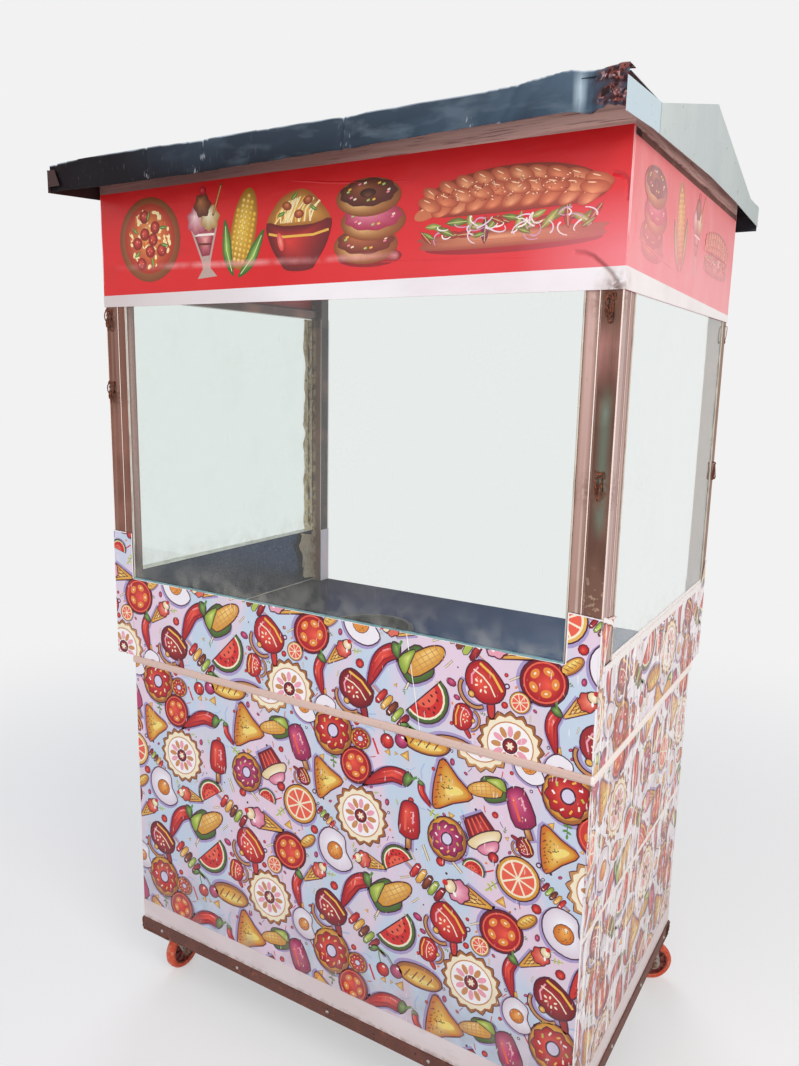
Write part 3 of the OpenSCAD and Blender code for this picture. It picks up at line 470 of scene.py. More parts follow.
# The same enamel on the front lip: painted sheen, bluer and lighter towards the right, along its top and in
# patches, a painted reflection down the fold near its right end, darker along its foot, rubbed to bare
# metal along folds and edges, rusted at its torn corner with painted pink glints
CREASED_ROOF_PAINT = finish("enamel_weathered_creased", "#180E10", 0.55,
    # Painted sheen: bluer and lighter towards the right, and along the top
    [(along(0, -0.4, 0.08), "#303C48", 0.3), (along(0, 0.05, 0.55), "#3E5060", 0.26),
     (along(2, 1.94, 1.985) * along(0, -0.45, 0.3) * 0.7, "#5A6D7F", 0.24),
     (patches(150, 0.4, 0.6, x=0.45, warp=0.5) * 0.55, "#1B1B21", 0.36),
     # Painted sheen: lighter blue-grey patches on the left half
     (along(0, -0.35, 0.1) * patches(28, 0.5, 0.66, 5, x=0.3) * 0.4, "#6C7883", 0.3),
     (along(0, 0.1, -0.2) * patches(5, 0.64, 0.72, 17, z=0.2) * 0.3, "#7E7278", 0.5),
     (along(2, 1.944, 1.934) * 0.6, "#121114", 0.5),
     # Painted reflection down the fold near the right end
     (stripe(0, 0.547, 0.569, 0.011) * stripe(2, 1.935, 2.01, 0.03) * 0.95, "#A9BAC6", 0.3),
     (beside(*LIP_SCUFFS, reach_mm=11) * patches(3.6, 0.5, 0.58, 14, z=0.3) * 0.9, "#C6C8CC", 0.5),
     (carried("rust_and_glint", 0.2, 0.7) * patches(18, 0.32, 0.5, 3), "#3C2224", 0.7),
     (carried("rust_and_glint", 0.35, 0.85) * patches(9, 0.5, 0.6, 9, warp=1.0), "#8A4E48", 0.8),
     # Painted glints: pale pink patches on the crumpled corner
     (carried("rust_and_glint", 0.4, 0.9) * patches(7, 0.58, 0.68, 12, warp=1.0), "#CFAEAC", 0.6),
     (carried("worn", 0.35, 0.85) * patches(40, 0.3, 0.46, x=0.25), "#B4BDC5", 0.36)],
    [(patches(60, 0.3, 0.7, warp=0.4), 0.5), (patches(9, 0.35, 0.7), 0.05)], Specular_IOR_Level=0.08)

GABLE_LAP = -0.375
# Pre-painted steel sheet, roller coated: pale blue-grey satin; a second, bluer sheet laps the front, with a
# painted shadow line along its edge, and the left gable's inner face is painted dark as shade over its
# maroon primer
GREY_GABLE_SHEET = finish("steel_prepainted_grey", "#AFBABB", 0.36,
    [(patches(60, 0.46, 0.7, z=0.25) * 0.4, "#A0ACAF", 0.42), (patches(160, 0.45, 0.7, 4), "#B9C3C2", 0.34),
     (along(1, -0.05, 0.5) * 0.6, "#9AA6A3", 0.4),
     (along(1, GABLE_LAP, GABLE_LAP - 0.001), "#B6CAD4", 0.32),
     (along(0, -0.5, -0.51) * along(1, -0.5, -0.51), "#1E1214", 0.8),
     # Painted shade over maroon primer: the left gable's inner face dark
     (along(0, -0.6312, -0.6309) * along(0, 0.0, -0.01), "#38201F", 0.7),
     # Painted shadow: a thin dark line along the lap's edge
     (along(1, GABLE_LAP - 0.0022, GABLE_LAP - 0.0014) * along(1, GABLE_LAP + 0.0008, GABLE_LAP), "#5E6A72",
      0.5),
     *ROOF_RUST[1:]],
    [(patches(140, 0.3, 0.7), 1.2), (patches(4, 0.35, 0.7), 0.03)])

# Silicone sealant, gunned and smoothed by thumb: milky, with dust stuck in it
SILICONE = finish("silicone_sealant", "#C9BEB2", 0.5,
    [(patches(40, 0.5, 0.7), "#AD9F92", 0.7), (patches(5, 0.66, 0.72, 2) * 0.4, "#6A5E54", 0.8)],
    uneven(3, 0.3), Subsurface_Weight=0.1)

# Old sealant inside the panes: brown with dust and soot, breaking into lumps
OLD_SEALANT = finish("silicone_soiled", "#5A4636", 0.7,
    [(patches(6, 0.45, 0.6), "#33261E", 0.8), (patches(11, 0.6, 0.68, 3), "#B8AE98", 0.6)],
    uneven(2, 0.3))

# Protective film and glue left on the far rear jamb: yellowed, torn, black with mildew in places
FILM_RESIDUE = finish("film_residue_weathered", "#F4DFB4", 0.55,
    [(patches(26, 0.46, 0.64, z=0.3), "#B0925E", 0.6), (patches(12, 0.54, 0.62, 3, z=0.4), "#F4EEDC", 0.5),
     (patches(7, 0.58, 0.64, 6) * 0.7, "#5A442E", 0.8), (along(2, 1.07, 1.06) * 0.75, "#8C7A6C", 0.6)],
    uneven(9, 0.5))

# Polished rounded edge of stainless tube: painted pale as the clean line of highlight that it catches
BRIGHT_EDGE = finish("stainless_edge_highlight", "#FBE6DC", 0.2,
    [(patches(60, 0.6, 0.74, z=0.2), "#C79C8A", 0.3)], metallic=0.4)

# Cut edge of white vinyl, curling off its glue: bright, matt; the same white is painted along the film's
# wrinkles as their highlights
FILM_EDGE_AND_WRINKLE_HIGHLIGHT = finish("vinyl_cut_edge_and_highlight", "#F3EDEB", 0.5,
    [(patches(8, 0.62, 0.72), "#D6C6C2", 0.6)],
    uneven(6, 0.1))

# The banner's skin drawn tight over a fold or a corner: the same vinyl, painted pale pink along it as a
# highlight
BANNER_FOLD_HIGHLIGHT = finish("flex_banner_fold_highlight", "#F4B4B6", 0.34,
    [(patches(30, 0.45, 0.65, x=0.3, z=0.3), "#E8757A", 0.34)])

# Zinc-plated screw and rivet heads, pressed: small bright metal with brown in the recess
ZINC_SCREWS = finish("zinc_plated_head", "#B5B0AA", 0.35,
    [(patches(3, 0.55, 0.66), "#7A5642", 0.7, 0.2)], metallic=0.9)


def window_glass():
    # Clear float glass: almost colourless through its face, smeared by hands, dusty at its foot
    made, tree, where = blank("float_glass_clear")
    haze = add(tree, "ShaderNodeMapRange",
               {"Value": patches(110, 0.5, 0.78, z=0.35)(tree, where), "To Max": 0.015})
    pane = add(tree, "ShaderNodeBsdfPrincipled",
               {"Base Color": colour("#F3F8F6"), "Roughness": haze, "IOR": 1.5, "Transmission Weight": 1.0})
    smears, streaks, fog = (mask(tree, where) for mask in (
        patches(160, 0.5, 0.8, 3) * patches(7, 0.3, 0.7) * 0.07,
        along(2, 1.14, 1.07) * patches(40, 0.4, 0.7, 6) * 0.14,
        patches(6, 0.68, 0.76, 9, z=0.12) * patches(90, 0.5, 0.6, 5) * 0.12))
    soil = smears
    for share in (streaks, fog):
        soil = add(tree, "ShaderNodeMath", {0: soil, 1: share}, operation="MAXIMUM")
    film = add(tree, "ShaderNodeBsdfDiffuse", {"Color": colour("#DCD6CC")})
    soiled = add(tree, "ShaderNodeMixShader", {0: soil, 1: pane, 2: film})
    clear = add(tree, "ShaderNodeBsdfTransparent", {"Color": colour("#F3F8F6")})
    lamp = add(tree, "ShaderNodeLightPath").outputs["Is Shadow Ray"]
    mixed = add(tree, "ShaderNodeMixShader", {0: lamp, 1: soiled, 2: clear})
    add(tree, "ShaderNodeOutputMaterial", {"Surface": mixed})
    return made


# Ground edge of float glass: sea green, half clear
GLASS_EDGE = finish("float_glass_ground_edge", "#93BDC0", 0.25,
    [(patches(14, 0.45, 0.65), "#6E9EA4", 0.35)], Transmission_Weight=0.3)


# Flat shapes for the prints: outlines are lists of points, anticlockwise, about 1 in radius
def oval(cx, cy, rx, ry=None, turn=0.0, start=0.0, sweep=360.0, steps=None):
    """An ellipse, or an arc of it when sweep is under 360 degrees. A big one gets more points."""
    ry = rx if ry is None else ry
    steps = steps or (10 if max(rx, ry) < 0.2 else 14 if max(rx, ry) < 0.6 else 22)
    closed = sweep >= 360
    count = steps if closed else max(4, round(steps * sweep / 360))
    lean = math.radians(turn)
    points = []
    for k in range(count if closed else count + 1):
        a = math.radians(start + sweep * k / count)
        x, y = rx * cos(a), ry * sin(a)
        points.append((cx + x * cos(lean) - y * sin(lean),
                       cy + x * sin(lean) + y * cos(lean)))
    return points


def scallop(cx, cy, radius, depth, lobes):
    """A round edge with soft lobes."""
    steps = lobes * 4
    return [(cx + (radius + depth * cos(lobes * a)) * cos(a),
             cy + (radius + depth * cos(lobes * a)) * sin(a))
            for a in (2 * math.pi * k / steps for k in range(steps))]


def knots(*numbers):
    """Points from their places across and up, in hundredths."""
    return [(x / 100, y / 100) for x, y in zip(numbers[::2], numbers[1::2])]


def smooth(through, steps=3):
    """A closed curve through some points."""
    n = len(through)
    points = []
    for k in range(n):
        a, b, c, d = (through[(k + s) % n] for s in (-1, 0, 1, 2))
        for s in range(steps):
            t = s / steps
            points.append(tuple(0.5 * (2 * b[i] + (c[i] - a[i]) * t
                                       + (2 * a[i] - 5 * b[i] + 4 * c[i] - d[i]) * t * t
                                       + (3 * b[i] - a[i] - 3 * c[i] + d[i]) * t ** 3) for i in (0, 1)))
    return points


def curve(*numbers, steps=3):
    """A closed curve through points in hundredths."""
    return smooth(knots(*numbers), steps)


def stroke(path, width, taper=1.0):
    """A ribbon along an open path; taper is its end's width in parts of its start's."""
    left, right = [], []
    for k, p in enumerate(path):
        a, b = path[max(k - 1, 0)], path[min(k + 1, len(path) - 1)]
        dx, dy = b[0] - a[0], b[1] - a[1]
        size = math.hypot(dx, dy) or 1.0
        half = width / 2 * (1 + (taper - 1) * k / max(len(path) - 1, 1))
        left.append((p[0] - dy / size * half, p[1] + dx / size * half))
        right.append((p[0] + dy / size * half, p[1] - dx / size * half))
    return right + left[::-1]


def ribbon(ink, width, *numbers):
    """A shape of one ink: a ribbon through points in hundredths."""
    return ink, stroke(knots(*numbers), width)


def area(outline):
    return sum(a[0] * b[1] - b[0] * a[1] for a, b in zip(outline, outline[1:] + outline[:1])) / 2


def swell(outline, by):
    """The outline moved outwards by a distance."""
    n, sign = len(outline), math.copysign(1, area(outline))
    grown = []
    for k in range(n):
        a, b, c = outline[k - 1], outline[k], outline[(k + 1) % n]
        nx, ny = (c[1] - a[1]) * sign, (a[0] - c[0]) * sign
        size = math.hypot(nx, ny) or 1.0
        grown.append((b[0] + nx / size * by, b[1] + ny / size * by))
    return grown


def inside(p, outline):
    """Whether a point lies in an outline."""
    hits = 0
    for a, b in zip(outline, outline[1:] + outline[:1]):
        if (a[1] > p[1]) != (b[1] > p[1]) and p[0] < a[0] + (p[1] - a[1]) / (b[1] - a[1]) * (b[0] - a[0]):
            hits += 1
    return hits % 2 == 1


def faces_point(outline, point):
    """Whether every edge of an anticlockwise outline has the point on its inner side."""
    return all((b[0] - a[0]) * (point[1] - a[1]) - (b[1] - a[1]) * (point[0] - a[0]) > 0
               for a, b in zip(outline, outline[1:] + outline[:1]))


def meet(a, b):
    """Whether two outlines overlap or cross."""
    (ax, ay), (bx, by) = zip(*a), zip(*b)
    if min(ax) > max(bx) or min(bx) > max(ax) or min(ay) > max(by) or min(by) > max(ay):
        return False
    return inside(a[0], b) or inside(b[0], a) or any(
        geometry.intersect_line_line_2d(p, q, r, s)
        for p, q in zip(a, a[1:] + a[:1]) for r, s in zip(b, b[1:] + b[:1]))


def stacked(shapes):
    """Each shape's layer: one above the highest of the earlier shapes that it meets."""
    layers = []
    for k, (_, outline) in enumerate(shapes):
        layers.append(1 + max((layers[j] for j in range(k) if meet(outline, shapes[j][1])), default=-1))
    return layers


class Fade(NamedTuple):
    """A paint that runs from a colour at the outline to another at the point lit."""
    rim: str
    core: str
    lit: tuple


def placed(shapes, size, turn=0.0, flip=1):
    """The shapes with their layers, at a size and a turn in degrees, mirrored where flip is -1."""
    c, s = cos(math.radians(turn)) * size, sin(math.radians(turn)) * size

    def put(point):
        return (flip * point[0] * c - point[1] * s, flip * point[0] * s + point[1] * c)

    return [(paint._replace(lit=put(paint.lit)) if isinstance(paint, Fade) else paint,
             [put(p) for p in outline], layer)
            for (paint, outline), layer in zip(shapes, stacked(shapes))]


def soft(paint, outline):
    """A filled shape, lighter towards its upper left where the ink has two tones."""
    middle = [sum(p[k] for p in outline) / len(outline) for k in (0, 1)]
    reach = max(math.dist(middle, p) for p in outline)
    lit = (middle[0] - 0.16 * reach, middle[1] + 0.2 * reach)
    return [(Fade(*ROUNDED[paint], lit) if paint in ROUNDED else paint, outline)]


def lined(paint, outline, line=0.055):
    """The same on a dark outline."""
    return [("line", swell(outline, line))] + soft(paint, outline)


def specks(paint, count, reach, size, seed, middle=(0.0, 0.0)):
    """Small flecks strewn over an oval."""
    rng = random.Random(seed)
    flecks = []
    for _ in range(count):
        a, r = rng.uniform(0, 6.28), math.sqrt(rng.random())
        x, y = middle[0] + reach[0] * r * cos(a), middle[1] + reach[1] * r * sin(a)
        flecks.append((paint, oval(x, y, size * rng.uniform(0.6, 1.3), size * 0.5, rng.uniform(0, 180),
                                   steps=6)))
    return flecks


def tone(a, b, share):
    """A hex code between two."""
    return "#" + "".join("%02X" % round(int(a[k:k + 2], 16) * (1 - share) + int(b[k:k + 2], 16) * share)
                         for k in (1, 3, 5))


def shaded(outline, rim, core, lit=(0.0, 0.2)):
    """A rounded form: dark at its outline and light at the point lit."""
    return [(Fade(rim, core, lit), outline)]


INKS = {"line": "#4A1C34", "red": "#CF2B2A", "deep_red": "#9A1C28", "coral": "#E8604A", "orange": "#E58A3C",
        "gold": "#EDB94E", "yellow": "#F2D878", "cream": "#F3E6C8", "tan": "#C98B56", "brown": "#7A3826",
        "dark": "#3C1A24", "lime": "#B9C64E", "leaf": "#5F8C40", "pink": "#EBA0B0", "magenta": "#C23C6C",
        "purple": "#5C3A80", "white": "#F8F2F0", "sky": "#A9BEDC", "ground": "#D8CFE6",
        "halo": "#A898C4"}
# The inks that run darker to the outline and lighter inside: rim and core
ROUNDED = {"red": ("#A4141F", "#EE5A45"), "deep_red": ("#6E0F1C", "#C8403E"),
           "coral": ("#C83E34", "#F59A7C"),
           "orange": ("#C96A22", "#F6B45C"), "gold": ("#D2902E", "#F8D684"), "tan": ("#A0602E", "#E6B47C"),
           "brown": ("#54200F", "#A85A3C"), "lime": ("#7E9A2C", "#D8DE7C"), "leaf": ("#43602A", "#8DAE5C"),
           "pink": ("#D2708C", "#FBCBD2"), "magenta": ("#8E1E4C", "#E0648C"),
           "cream": ("#E2C794", "#FFF6DE"),
           "white": ("#DCCFDA", "#FFFFFF")}


# Motifs of the film
def ring_bun(icing="red"):
    bits = [("cream", "gold", "white", "lime")[k % 4] for k in range(10)]
    return (lined("tan", oval(0, 0, 0.98, 0.9)) + soft("gold", oval(-0.03, 0.05, 0.9, 0.8))
            + lined(icing, scallop(0, 0.02, 0.74, 0.06, 9), 0.04)
            + lined("ground", oval(0, 0, 0.25, 0.22), 0.07)
            + [(bit, stroke([(0.5 * cos(a), 0.47 * sin(a)),
                             (0.62 * cos(a + 0.2), 0.57 * sin(a + 0.2))], 0.07))
               for bit, a in zip(bits, (0.63 * k + 0.2 for k in range(10)))])


def cone(scoop="pink"):
    bars = [[(s * (-0.3 + 0.2 * k), 0.1), (s * (0.02 + 0.07 * k), -0.75 + 0.2 * k)]
            for s in (1, -1) for k in range(3)]
    return (lined("gold", knots(-40, 10, -5, -100, 5, -100, 40, 10))
            + [("brown", stroke(bar, 0.035)) for bar in bars]
            + lined(scoop, scallop(0, 0.38, 0.43, 0.04, 7))
            + lined("cream", oval(0.04, 0.72, 0.26, 0.22), 0.05)
            + [("red", oval(0.1, 0.95, 0.12)), ("white", oval(-0.18, 0.5, 0.12, 0.06, 40))])


def samosa():
    body = curve(-100, -52, -52, 14, 0, 86, 50, 18, 100, -50, 40, -66, -45, -68)
    return (lined("orange", body) + soft("gold", [(x * 0.82, y * 0.8 + 0.05) for x, y in body])
            + [("yellow", curve(-30, -10, 0, 50, 16, 20, -5, -20))]
            + specks("brown", 16, (0.6, 0.34), 0.05, 3, (0.0, -0.22))
            + specks("leaf", 5, (0.5, 0.3), 0.05, 4, (0.0, -0.2))
            + [("brown", stroke([(-0.9 + 0.3 * k, -0.6), (-0.82 + 0.3 * k, -0.48)], 0.04))
               for k in range(7)])


def melon_slice():
    flesh = (("cream", 0, 0.88, 0.88), ("red", 0, 0.8, 0.8), ("coral", -0.1, 0.5, 0.45))
    seeds = knots(-55, 22, -30, 24, -8, 16, 20, 20, 50, 22, -38, -2, -10, -16, 14, -6, 38, -4, 6, -28)
    return (lined("leaf", oval(0, 0.4, 1.0, 1.0, 0, 180, 180))
            + [(ink, oval(x, 0.4, wide, tall, 0, 180, 180)) for ink, x, wide, tall in flesh]
            + [("dark", oval(x, y, 0.04, 0.07, steps=8)) for x, y in seeds])


def citrus_slice():
    return (lined("gold", oval(0, 0, 0.8)) + [("cream", oval(0, 0, 0.7))]
            + [("coral", [(0.08 * cos(a), 0.08 * sin(a))]
                + oval(0, 0, 0.62, start=math.degrees(a) - 19, sweep=38))
               for a in (math.pi / 4 * k for k in range(8))])


def tomato_slice():
    return (lined("deep_red", oval(0, 0, 0.84, 0.8)) + [("coral", oval(0, 0.02, 0.76, 0.72))]
            + soft("red", oval(0, 0.02, 0.7, 0.66))
            + [(ink, oval(0.42 * cos(a), 0.4 * sin(a), wide, tall, math.degrees(a) + 90, steps=steps))
               for ink, wide, tall, steps in (("orange", 0.2, 0.14, None), ("cream", 0.06, 0.04, 8))
               for a in (1.26 * k for k in range(5))])


def cherries():
    return ([ribbon("leaf", 0.07, -42, -30, -25, 35, 20, 85), ribbon("leaf", 0.07, 42, -15, 35, 40, 20, 85)]
            + lined("leaf", curve(20, 85, 50, 100, 85, 80, 50, 70), 0.05)
            + lined("magenta", oval(-0.45, -0.5, 0.36)) + lined("red", oval(0.42, -0.35, 0.36))
            + [("white", oval(-0.58, -0.36, 0.09, 0.06, 40, steps=8)),
               ("white", oval(0.3, -0.2, 0.09, 0.06, 40, steps=8))])


def fried_egg():
    return (lined("white", curve(-90, 0, -50, 62, 10, 55, 70, 70, 90, 10, 55, -50, 0, -72, -60, -55))
            + lined("orange", oval(0.05, 0.02, 0.36), 0.03)
            + [("cream", oval(-0.1, 0.16, 0.09, 0.06, 30, steps=8))]
            + specks("dark", 12, (0.3, 0.26), 0.03, 8, (0.1, 0.0)))


def skewer():
    bits = [("red", -0.62), ("gold", -0.31), ("brown", 0.0), ("lime", 0.3), ("deep_red", 0.62)]
    shapes = [("tan", stroke(knots(-115, 0, 120, 0), 0.07, 0.4))]
    for paint, x in bits:
        block = smooth([(x - 0.1, -0.3), (x + 0.1, -0.27), (x + 0.09, 0.32), (x - 0.11, 0.28)], 2)
        shapes += lined(paint, block, 0.03) + [("white", stroke([(x - 0.06, 0.2), (x + 0.05, 0.22)], 0.05))]
    return shapes


def cup_cake():
    cup = knots(-42, -85, 42, -85, 58, -10, -58, -10)
    return (lined("deep_red", cup)
            + [("coral", stroke([(x * 0.75, -0.8), (x, -0.15)], 0.06)) for x in (-0.36, -0.12, 0.12, 0.36)]
            + lined("cream", curve(0, -18, 70, -5, 55, 25, 0, 34, -55, 25, -70, -5))
            + lined("pink", curve(0, 20, 45, 28, 30, 55, 0, 60, -30, 55, -45, 28), 0.04)
            + lined("red", oval(0, 0.74, 0.17), 0.05))


def chilli():
    body = curve(-62, 5, -10, -8, 45, -50, 100, -85, 80, -35, 42, 20, -10, 50, -62, 52)
    return (lined("red", body)
            + [("deep_red", stroke(knots(-50, 10, 0, 2, 45, -30, 80, -65), 0.1, 0.3)),
               ("coral", stroke(knots(-45, 38, 5, 30, 45, 0), 0.09, 0.3)),
               ribbon("pink", 0.04, -35, 40, -5, 36)]
            + lined("leaf", curve(-65, 0, -48, 28, -60, 60, -85, 40), 0.05)
            + [ribbon("leaf", 0.1, -75, 35, -100, 60)])


def corn():
    shapes = lined("leaf", curve(0, -105, 50, -90, 62, 0, 20, 30, -20, 30, -62, 0, -50, -90))
    shapes += lined("gold", curve(32, -70, 36, 30, 20, 85, 0, 100, -20, 85, -36, 30, -32, -70))
    shapes += [("tan", stroke([(-0.33, y), (0.33, y + 0.06)], 0.035))
               for y in (-0.5, -0.25, 0.0, 0.25, 0.5, 0.72)]
    shapes += [("tan", stroke([(x, -0.6), (x, 0.8)], 0.03)) for x in (-0.14, 0.06, 0.22)]
    return shapes + lined("lime", curve(10, -100, -20, -50, -50, -10, -50, -90), 0.04)


def ice_lolly(paint="red"):
    body = curve(38, -40, 38, 60, 20, 92, -20, 92, -38, 60, -38, -40)
    return (lined("tan", stroke(knots(0, -95, 0, -30), 0.2), 0.05) + lined(paint, body)
            + [ribbon("coral", 0.1, -16, -25, -16, 60), ribbon("pink", 0.07, 16, 10, 16, 60)]
            + specks("cream", 8, (0.26, 0.5), 0.035, 6, (0.0, 0.2)))


def slashed_roll():
    return (lined("tan", oval(0, 0, 1.0, 0.46)) + soft("gold", oval(0, 0.05, 0.9, 0.36))
            + [("yellow", oval(-0.1, 0.16, 0.6, 0.1))]
            + [("brown", stroke([(x - 0.12, -0.16), (x + 0.12, 0.22)], 0.05))
               for x in (-0.5, -0.16, 0.18, 0.52)]
            + specks("brown", 14, (0.8, 0.28), 0.03, 9))


def kettle(paint="red"):
    return (lined("tan", stroke(oval(0, 0.36, 0.6, 0.5, 0, 10, 160), 0.1), 0.05)
            + lined(paint, curve(50, -10, 85, 10, 110, 38, 98, 46, 60, 20, 40, 10), 0.06)
            + lined(paint, curve(0, -80, 60, -70, 80, -20, 50, 30, 0, 42, -50, 30, -80, -20, -60, -70))
            + [ribbon("pink", 0.07, -55, -40, -50, 0, -25, 22),
               ribbon("gold", 0.09, -62, -55, 0, -66, 62, -55),
               ribbon("cream", 0.05, -60, -20, -20, -32, 20, -32, 60, -20)]
            + [("cream", oval(0.25 * cos(a), -0.02 + 0.14 * sin(a), 0.07, 0.04, math.degrees(a), steps=8))
               for a in (1.05 * k for k in range(6))]
            + lined("gold", oval(0, 0.48, 0.12, 0.1), 0.04))


def rosette():
    petals = [("pink" if k % 2 else "tan",
               oval(0.42 * cos(a), 0.42 * sin(a), 0.17, 0.09, math.degrees(a), steps=10))
              for k, a in enumerate(math.pi / 6 * k for k in range(12))]
    plate = [("cream", scallop(0, 0, 0.86, 0.04, 16)), ("tan", oval(0, 0, 0.72, steps=28)),
             ("white", oval(0, 0, 0.68, steps=28))]
    return (lined("tan", scallop(0, 0, 0.95, 0.07, 16), 0.03) + plate
            + petals + lined("deep_red", oval(0, 0, 0.2), 0.04) + [("cream", scallop(0, 0, 0.1, 0.03, 6))])


def sprig(paint="leaf"):
    return ([ribbon("line", 0.1, -90, -50, 0, 0, 90, 60)]
            + [(paint, oval(x, y, 0.34, 0.16, turn, steps=10)) for x, y, turn in (
                (-0.35, 0.15, 110), (-0.1, -0.35, -50), (0.35, 0.5, 100), (0.5, 0.0, -40),
                (0.95, 0.65, 30))])


MOTIFS = [ring_bun, cone, samosa, melon_slice, citrus_slice, tomato_slice, cherries, fried_egg, skewer,
          cup_cake, chilli, corn, ice_lolly, slashed_roll, kettle, lambda: ring_bun("magenta"),
          lambda: cone("coral"), chilli, melon_slice, lambda: ice_lolly("magenta"), skewer, tomato_slice,
          lambda: kettle("deep_red"), samosa]
FILLERS = [lambda: lined("red", oval(0, 0, 0.6, steps=9), 0.12),
           lambda: [("line", oval(0, 0, 0.6, steps=10)), ("ground", oval(0, 0, 0.32, steps=9))],
           lambda: lined("magenta", oval(0, 0, 0.7, 0.45, 30, steps=9), 0.1),
           lambda: [("dark", oval(0, 0, 0.3, steps=7))],
           sprig, lambda: [ribbon("red", 0.3, -100, -60, 100, 60)],
           lambda: [ribbon("purple", 0.22, -90, 50, 90, -50)],
           lambda: [("orange", oval(0, 0, 0.55, 0.4, steps=9))],
           lambda: [ribbon("sky", 0.22, -120, 0, 0, 35, 120, 0)],
           lambda: sprig("lime"), lambda: lined("cream", stroke(knots(-110, -30, 110, 30), 0.26), 0.08),
           lambda: lined("gold", knots(-70, -50, 70, -50, 0, 75), 0.1)]

# The film repeats: a tile of this size holds rosettes, then motifs, then fillers in what is left
TILE_MM = 520
ROSETTE_MM = 66
MOTIF_MM = (54, 47, 40, 33, 25)
FILLER_MM = (15, 10, 6)
PACKING = 0.82
HALO = 0.05


def film_tile():
    """The shapes of one tile, each motif as a list, with its place and reach for quick tests."""
    rng = random.Random(11)
    taken = []

    def room(x, y, r):
        for ox, oy, other in taken:
            dx, dy = (min(d, TILE_MM - d) for d in (abs(x - ox), abs(y - oy)))
            if dx * dx + dy * dy < (r + other) ** 2:
                return False
        return True

    motifs = []
    for x, y in ((120, 130), (390, 370)):
        taken.append((x, y, ROSETTE_MM))
        motifs.append((x, y, ROSETTE_MM, placed(rosette(), ROSETTE_MM, rng.uniform(-15, 15))))
    kinds = []
    for r, tries in zip(MOTIF_MM, (500, 1200, 2200, 3000, 3500)):
        for _ in range(tries):
            x, y = rng.uniform(0, TILE_MM), rng.uniform(0, TILE_MM)
            if room(x, y, r * PACKING):
                kinds = kinds or rng.sample(range(len(MOTIFS)), len(MOTIFS))
                taken.append((x, y, r * PACKING))
                motif = MOTIFS[kinds.pop()]()
                halo = ("halo", [(px + 0.05, py - 0.06) for px, py in swell(motif[0][1], HALO)])
                motifs.append((x, y, r, placed([halo] + motif, r, rng.uniform(0, 360),
                                               rng.choice((1, -1)))))
    for r, tries in zip(FILLER_MM, (2500, 4000, 5000)):
        for _ in range(tries):
            x, y = rng.uniform(0, TILE_MM), rng.uniform(0, TILE_MM)
            if room(x, y, r):
                taken.append((x, y, r))
                motifs.append((x, y, r, placed(rng.choice(FILLERS)(), r, rng.uniform(0, 360))))
    return motifs


def clipped(outline, region):
    """The outline cut to a convex region whose points run anticlockwise."""
    for a, b in zip(region, region[1:] + region[:1]):
        ex, ey = b[0] - a[0], b[1] - a[1]
        side = [ex * (p[1] - a[1]) - ey * (p[0] - a[0]) for p in outline]
        if min(side) >= 0:
            continue
        kept = []
        for k, (p, here) in enumerate(zip(outline, side)):
            q, there = outline[(k + 1) % len(outline)], side[(k + 1) % len(outline)]
            if here >= 0:
                kept.append(p)
            if (here >= 0) != (there >= 0):
                t = here / (here - there)
                kept.append((p[0] + (q[0] - p[0]) * t, p[1] + (q[1] - p[1]) * t))
        outline = kept
        if len(outline) < 3:
            return []
    return outline


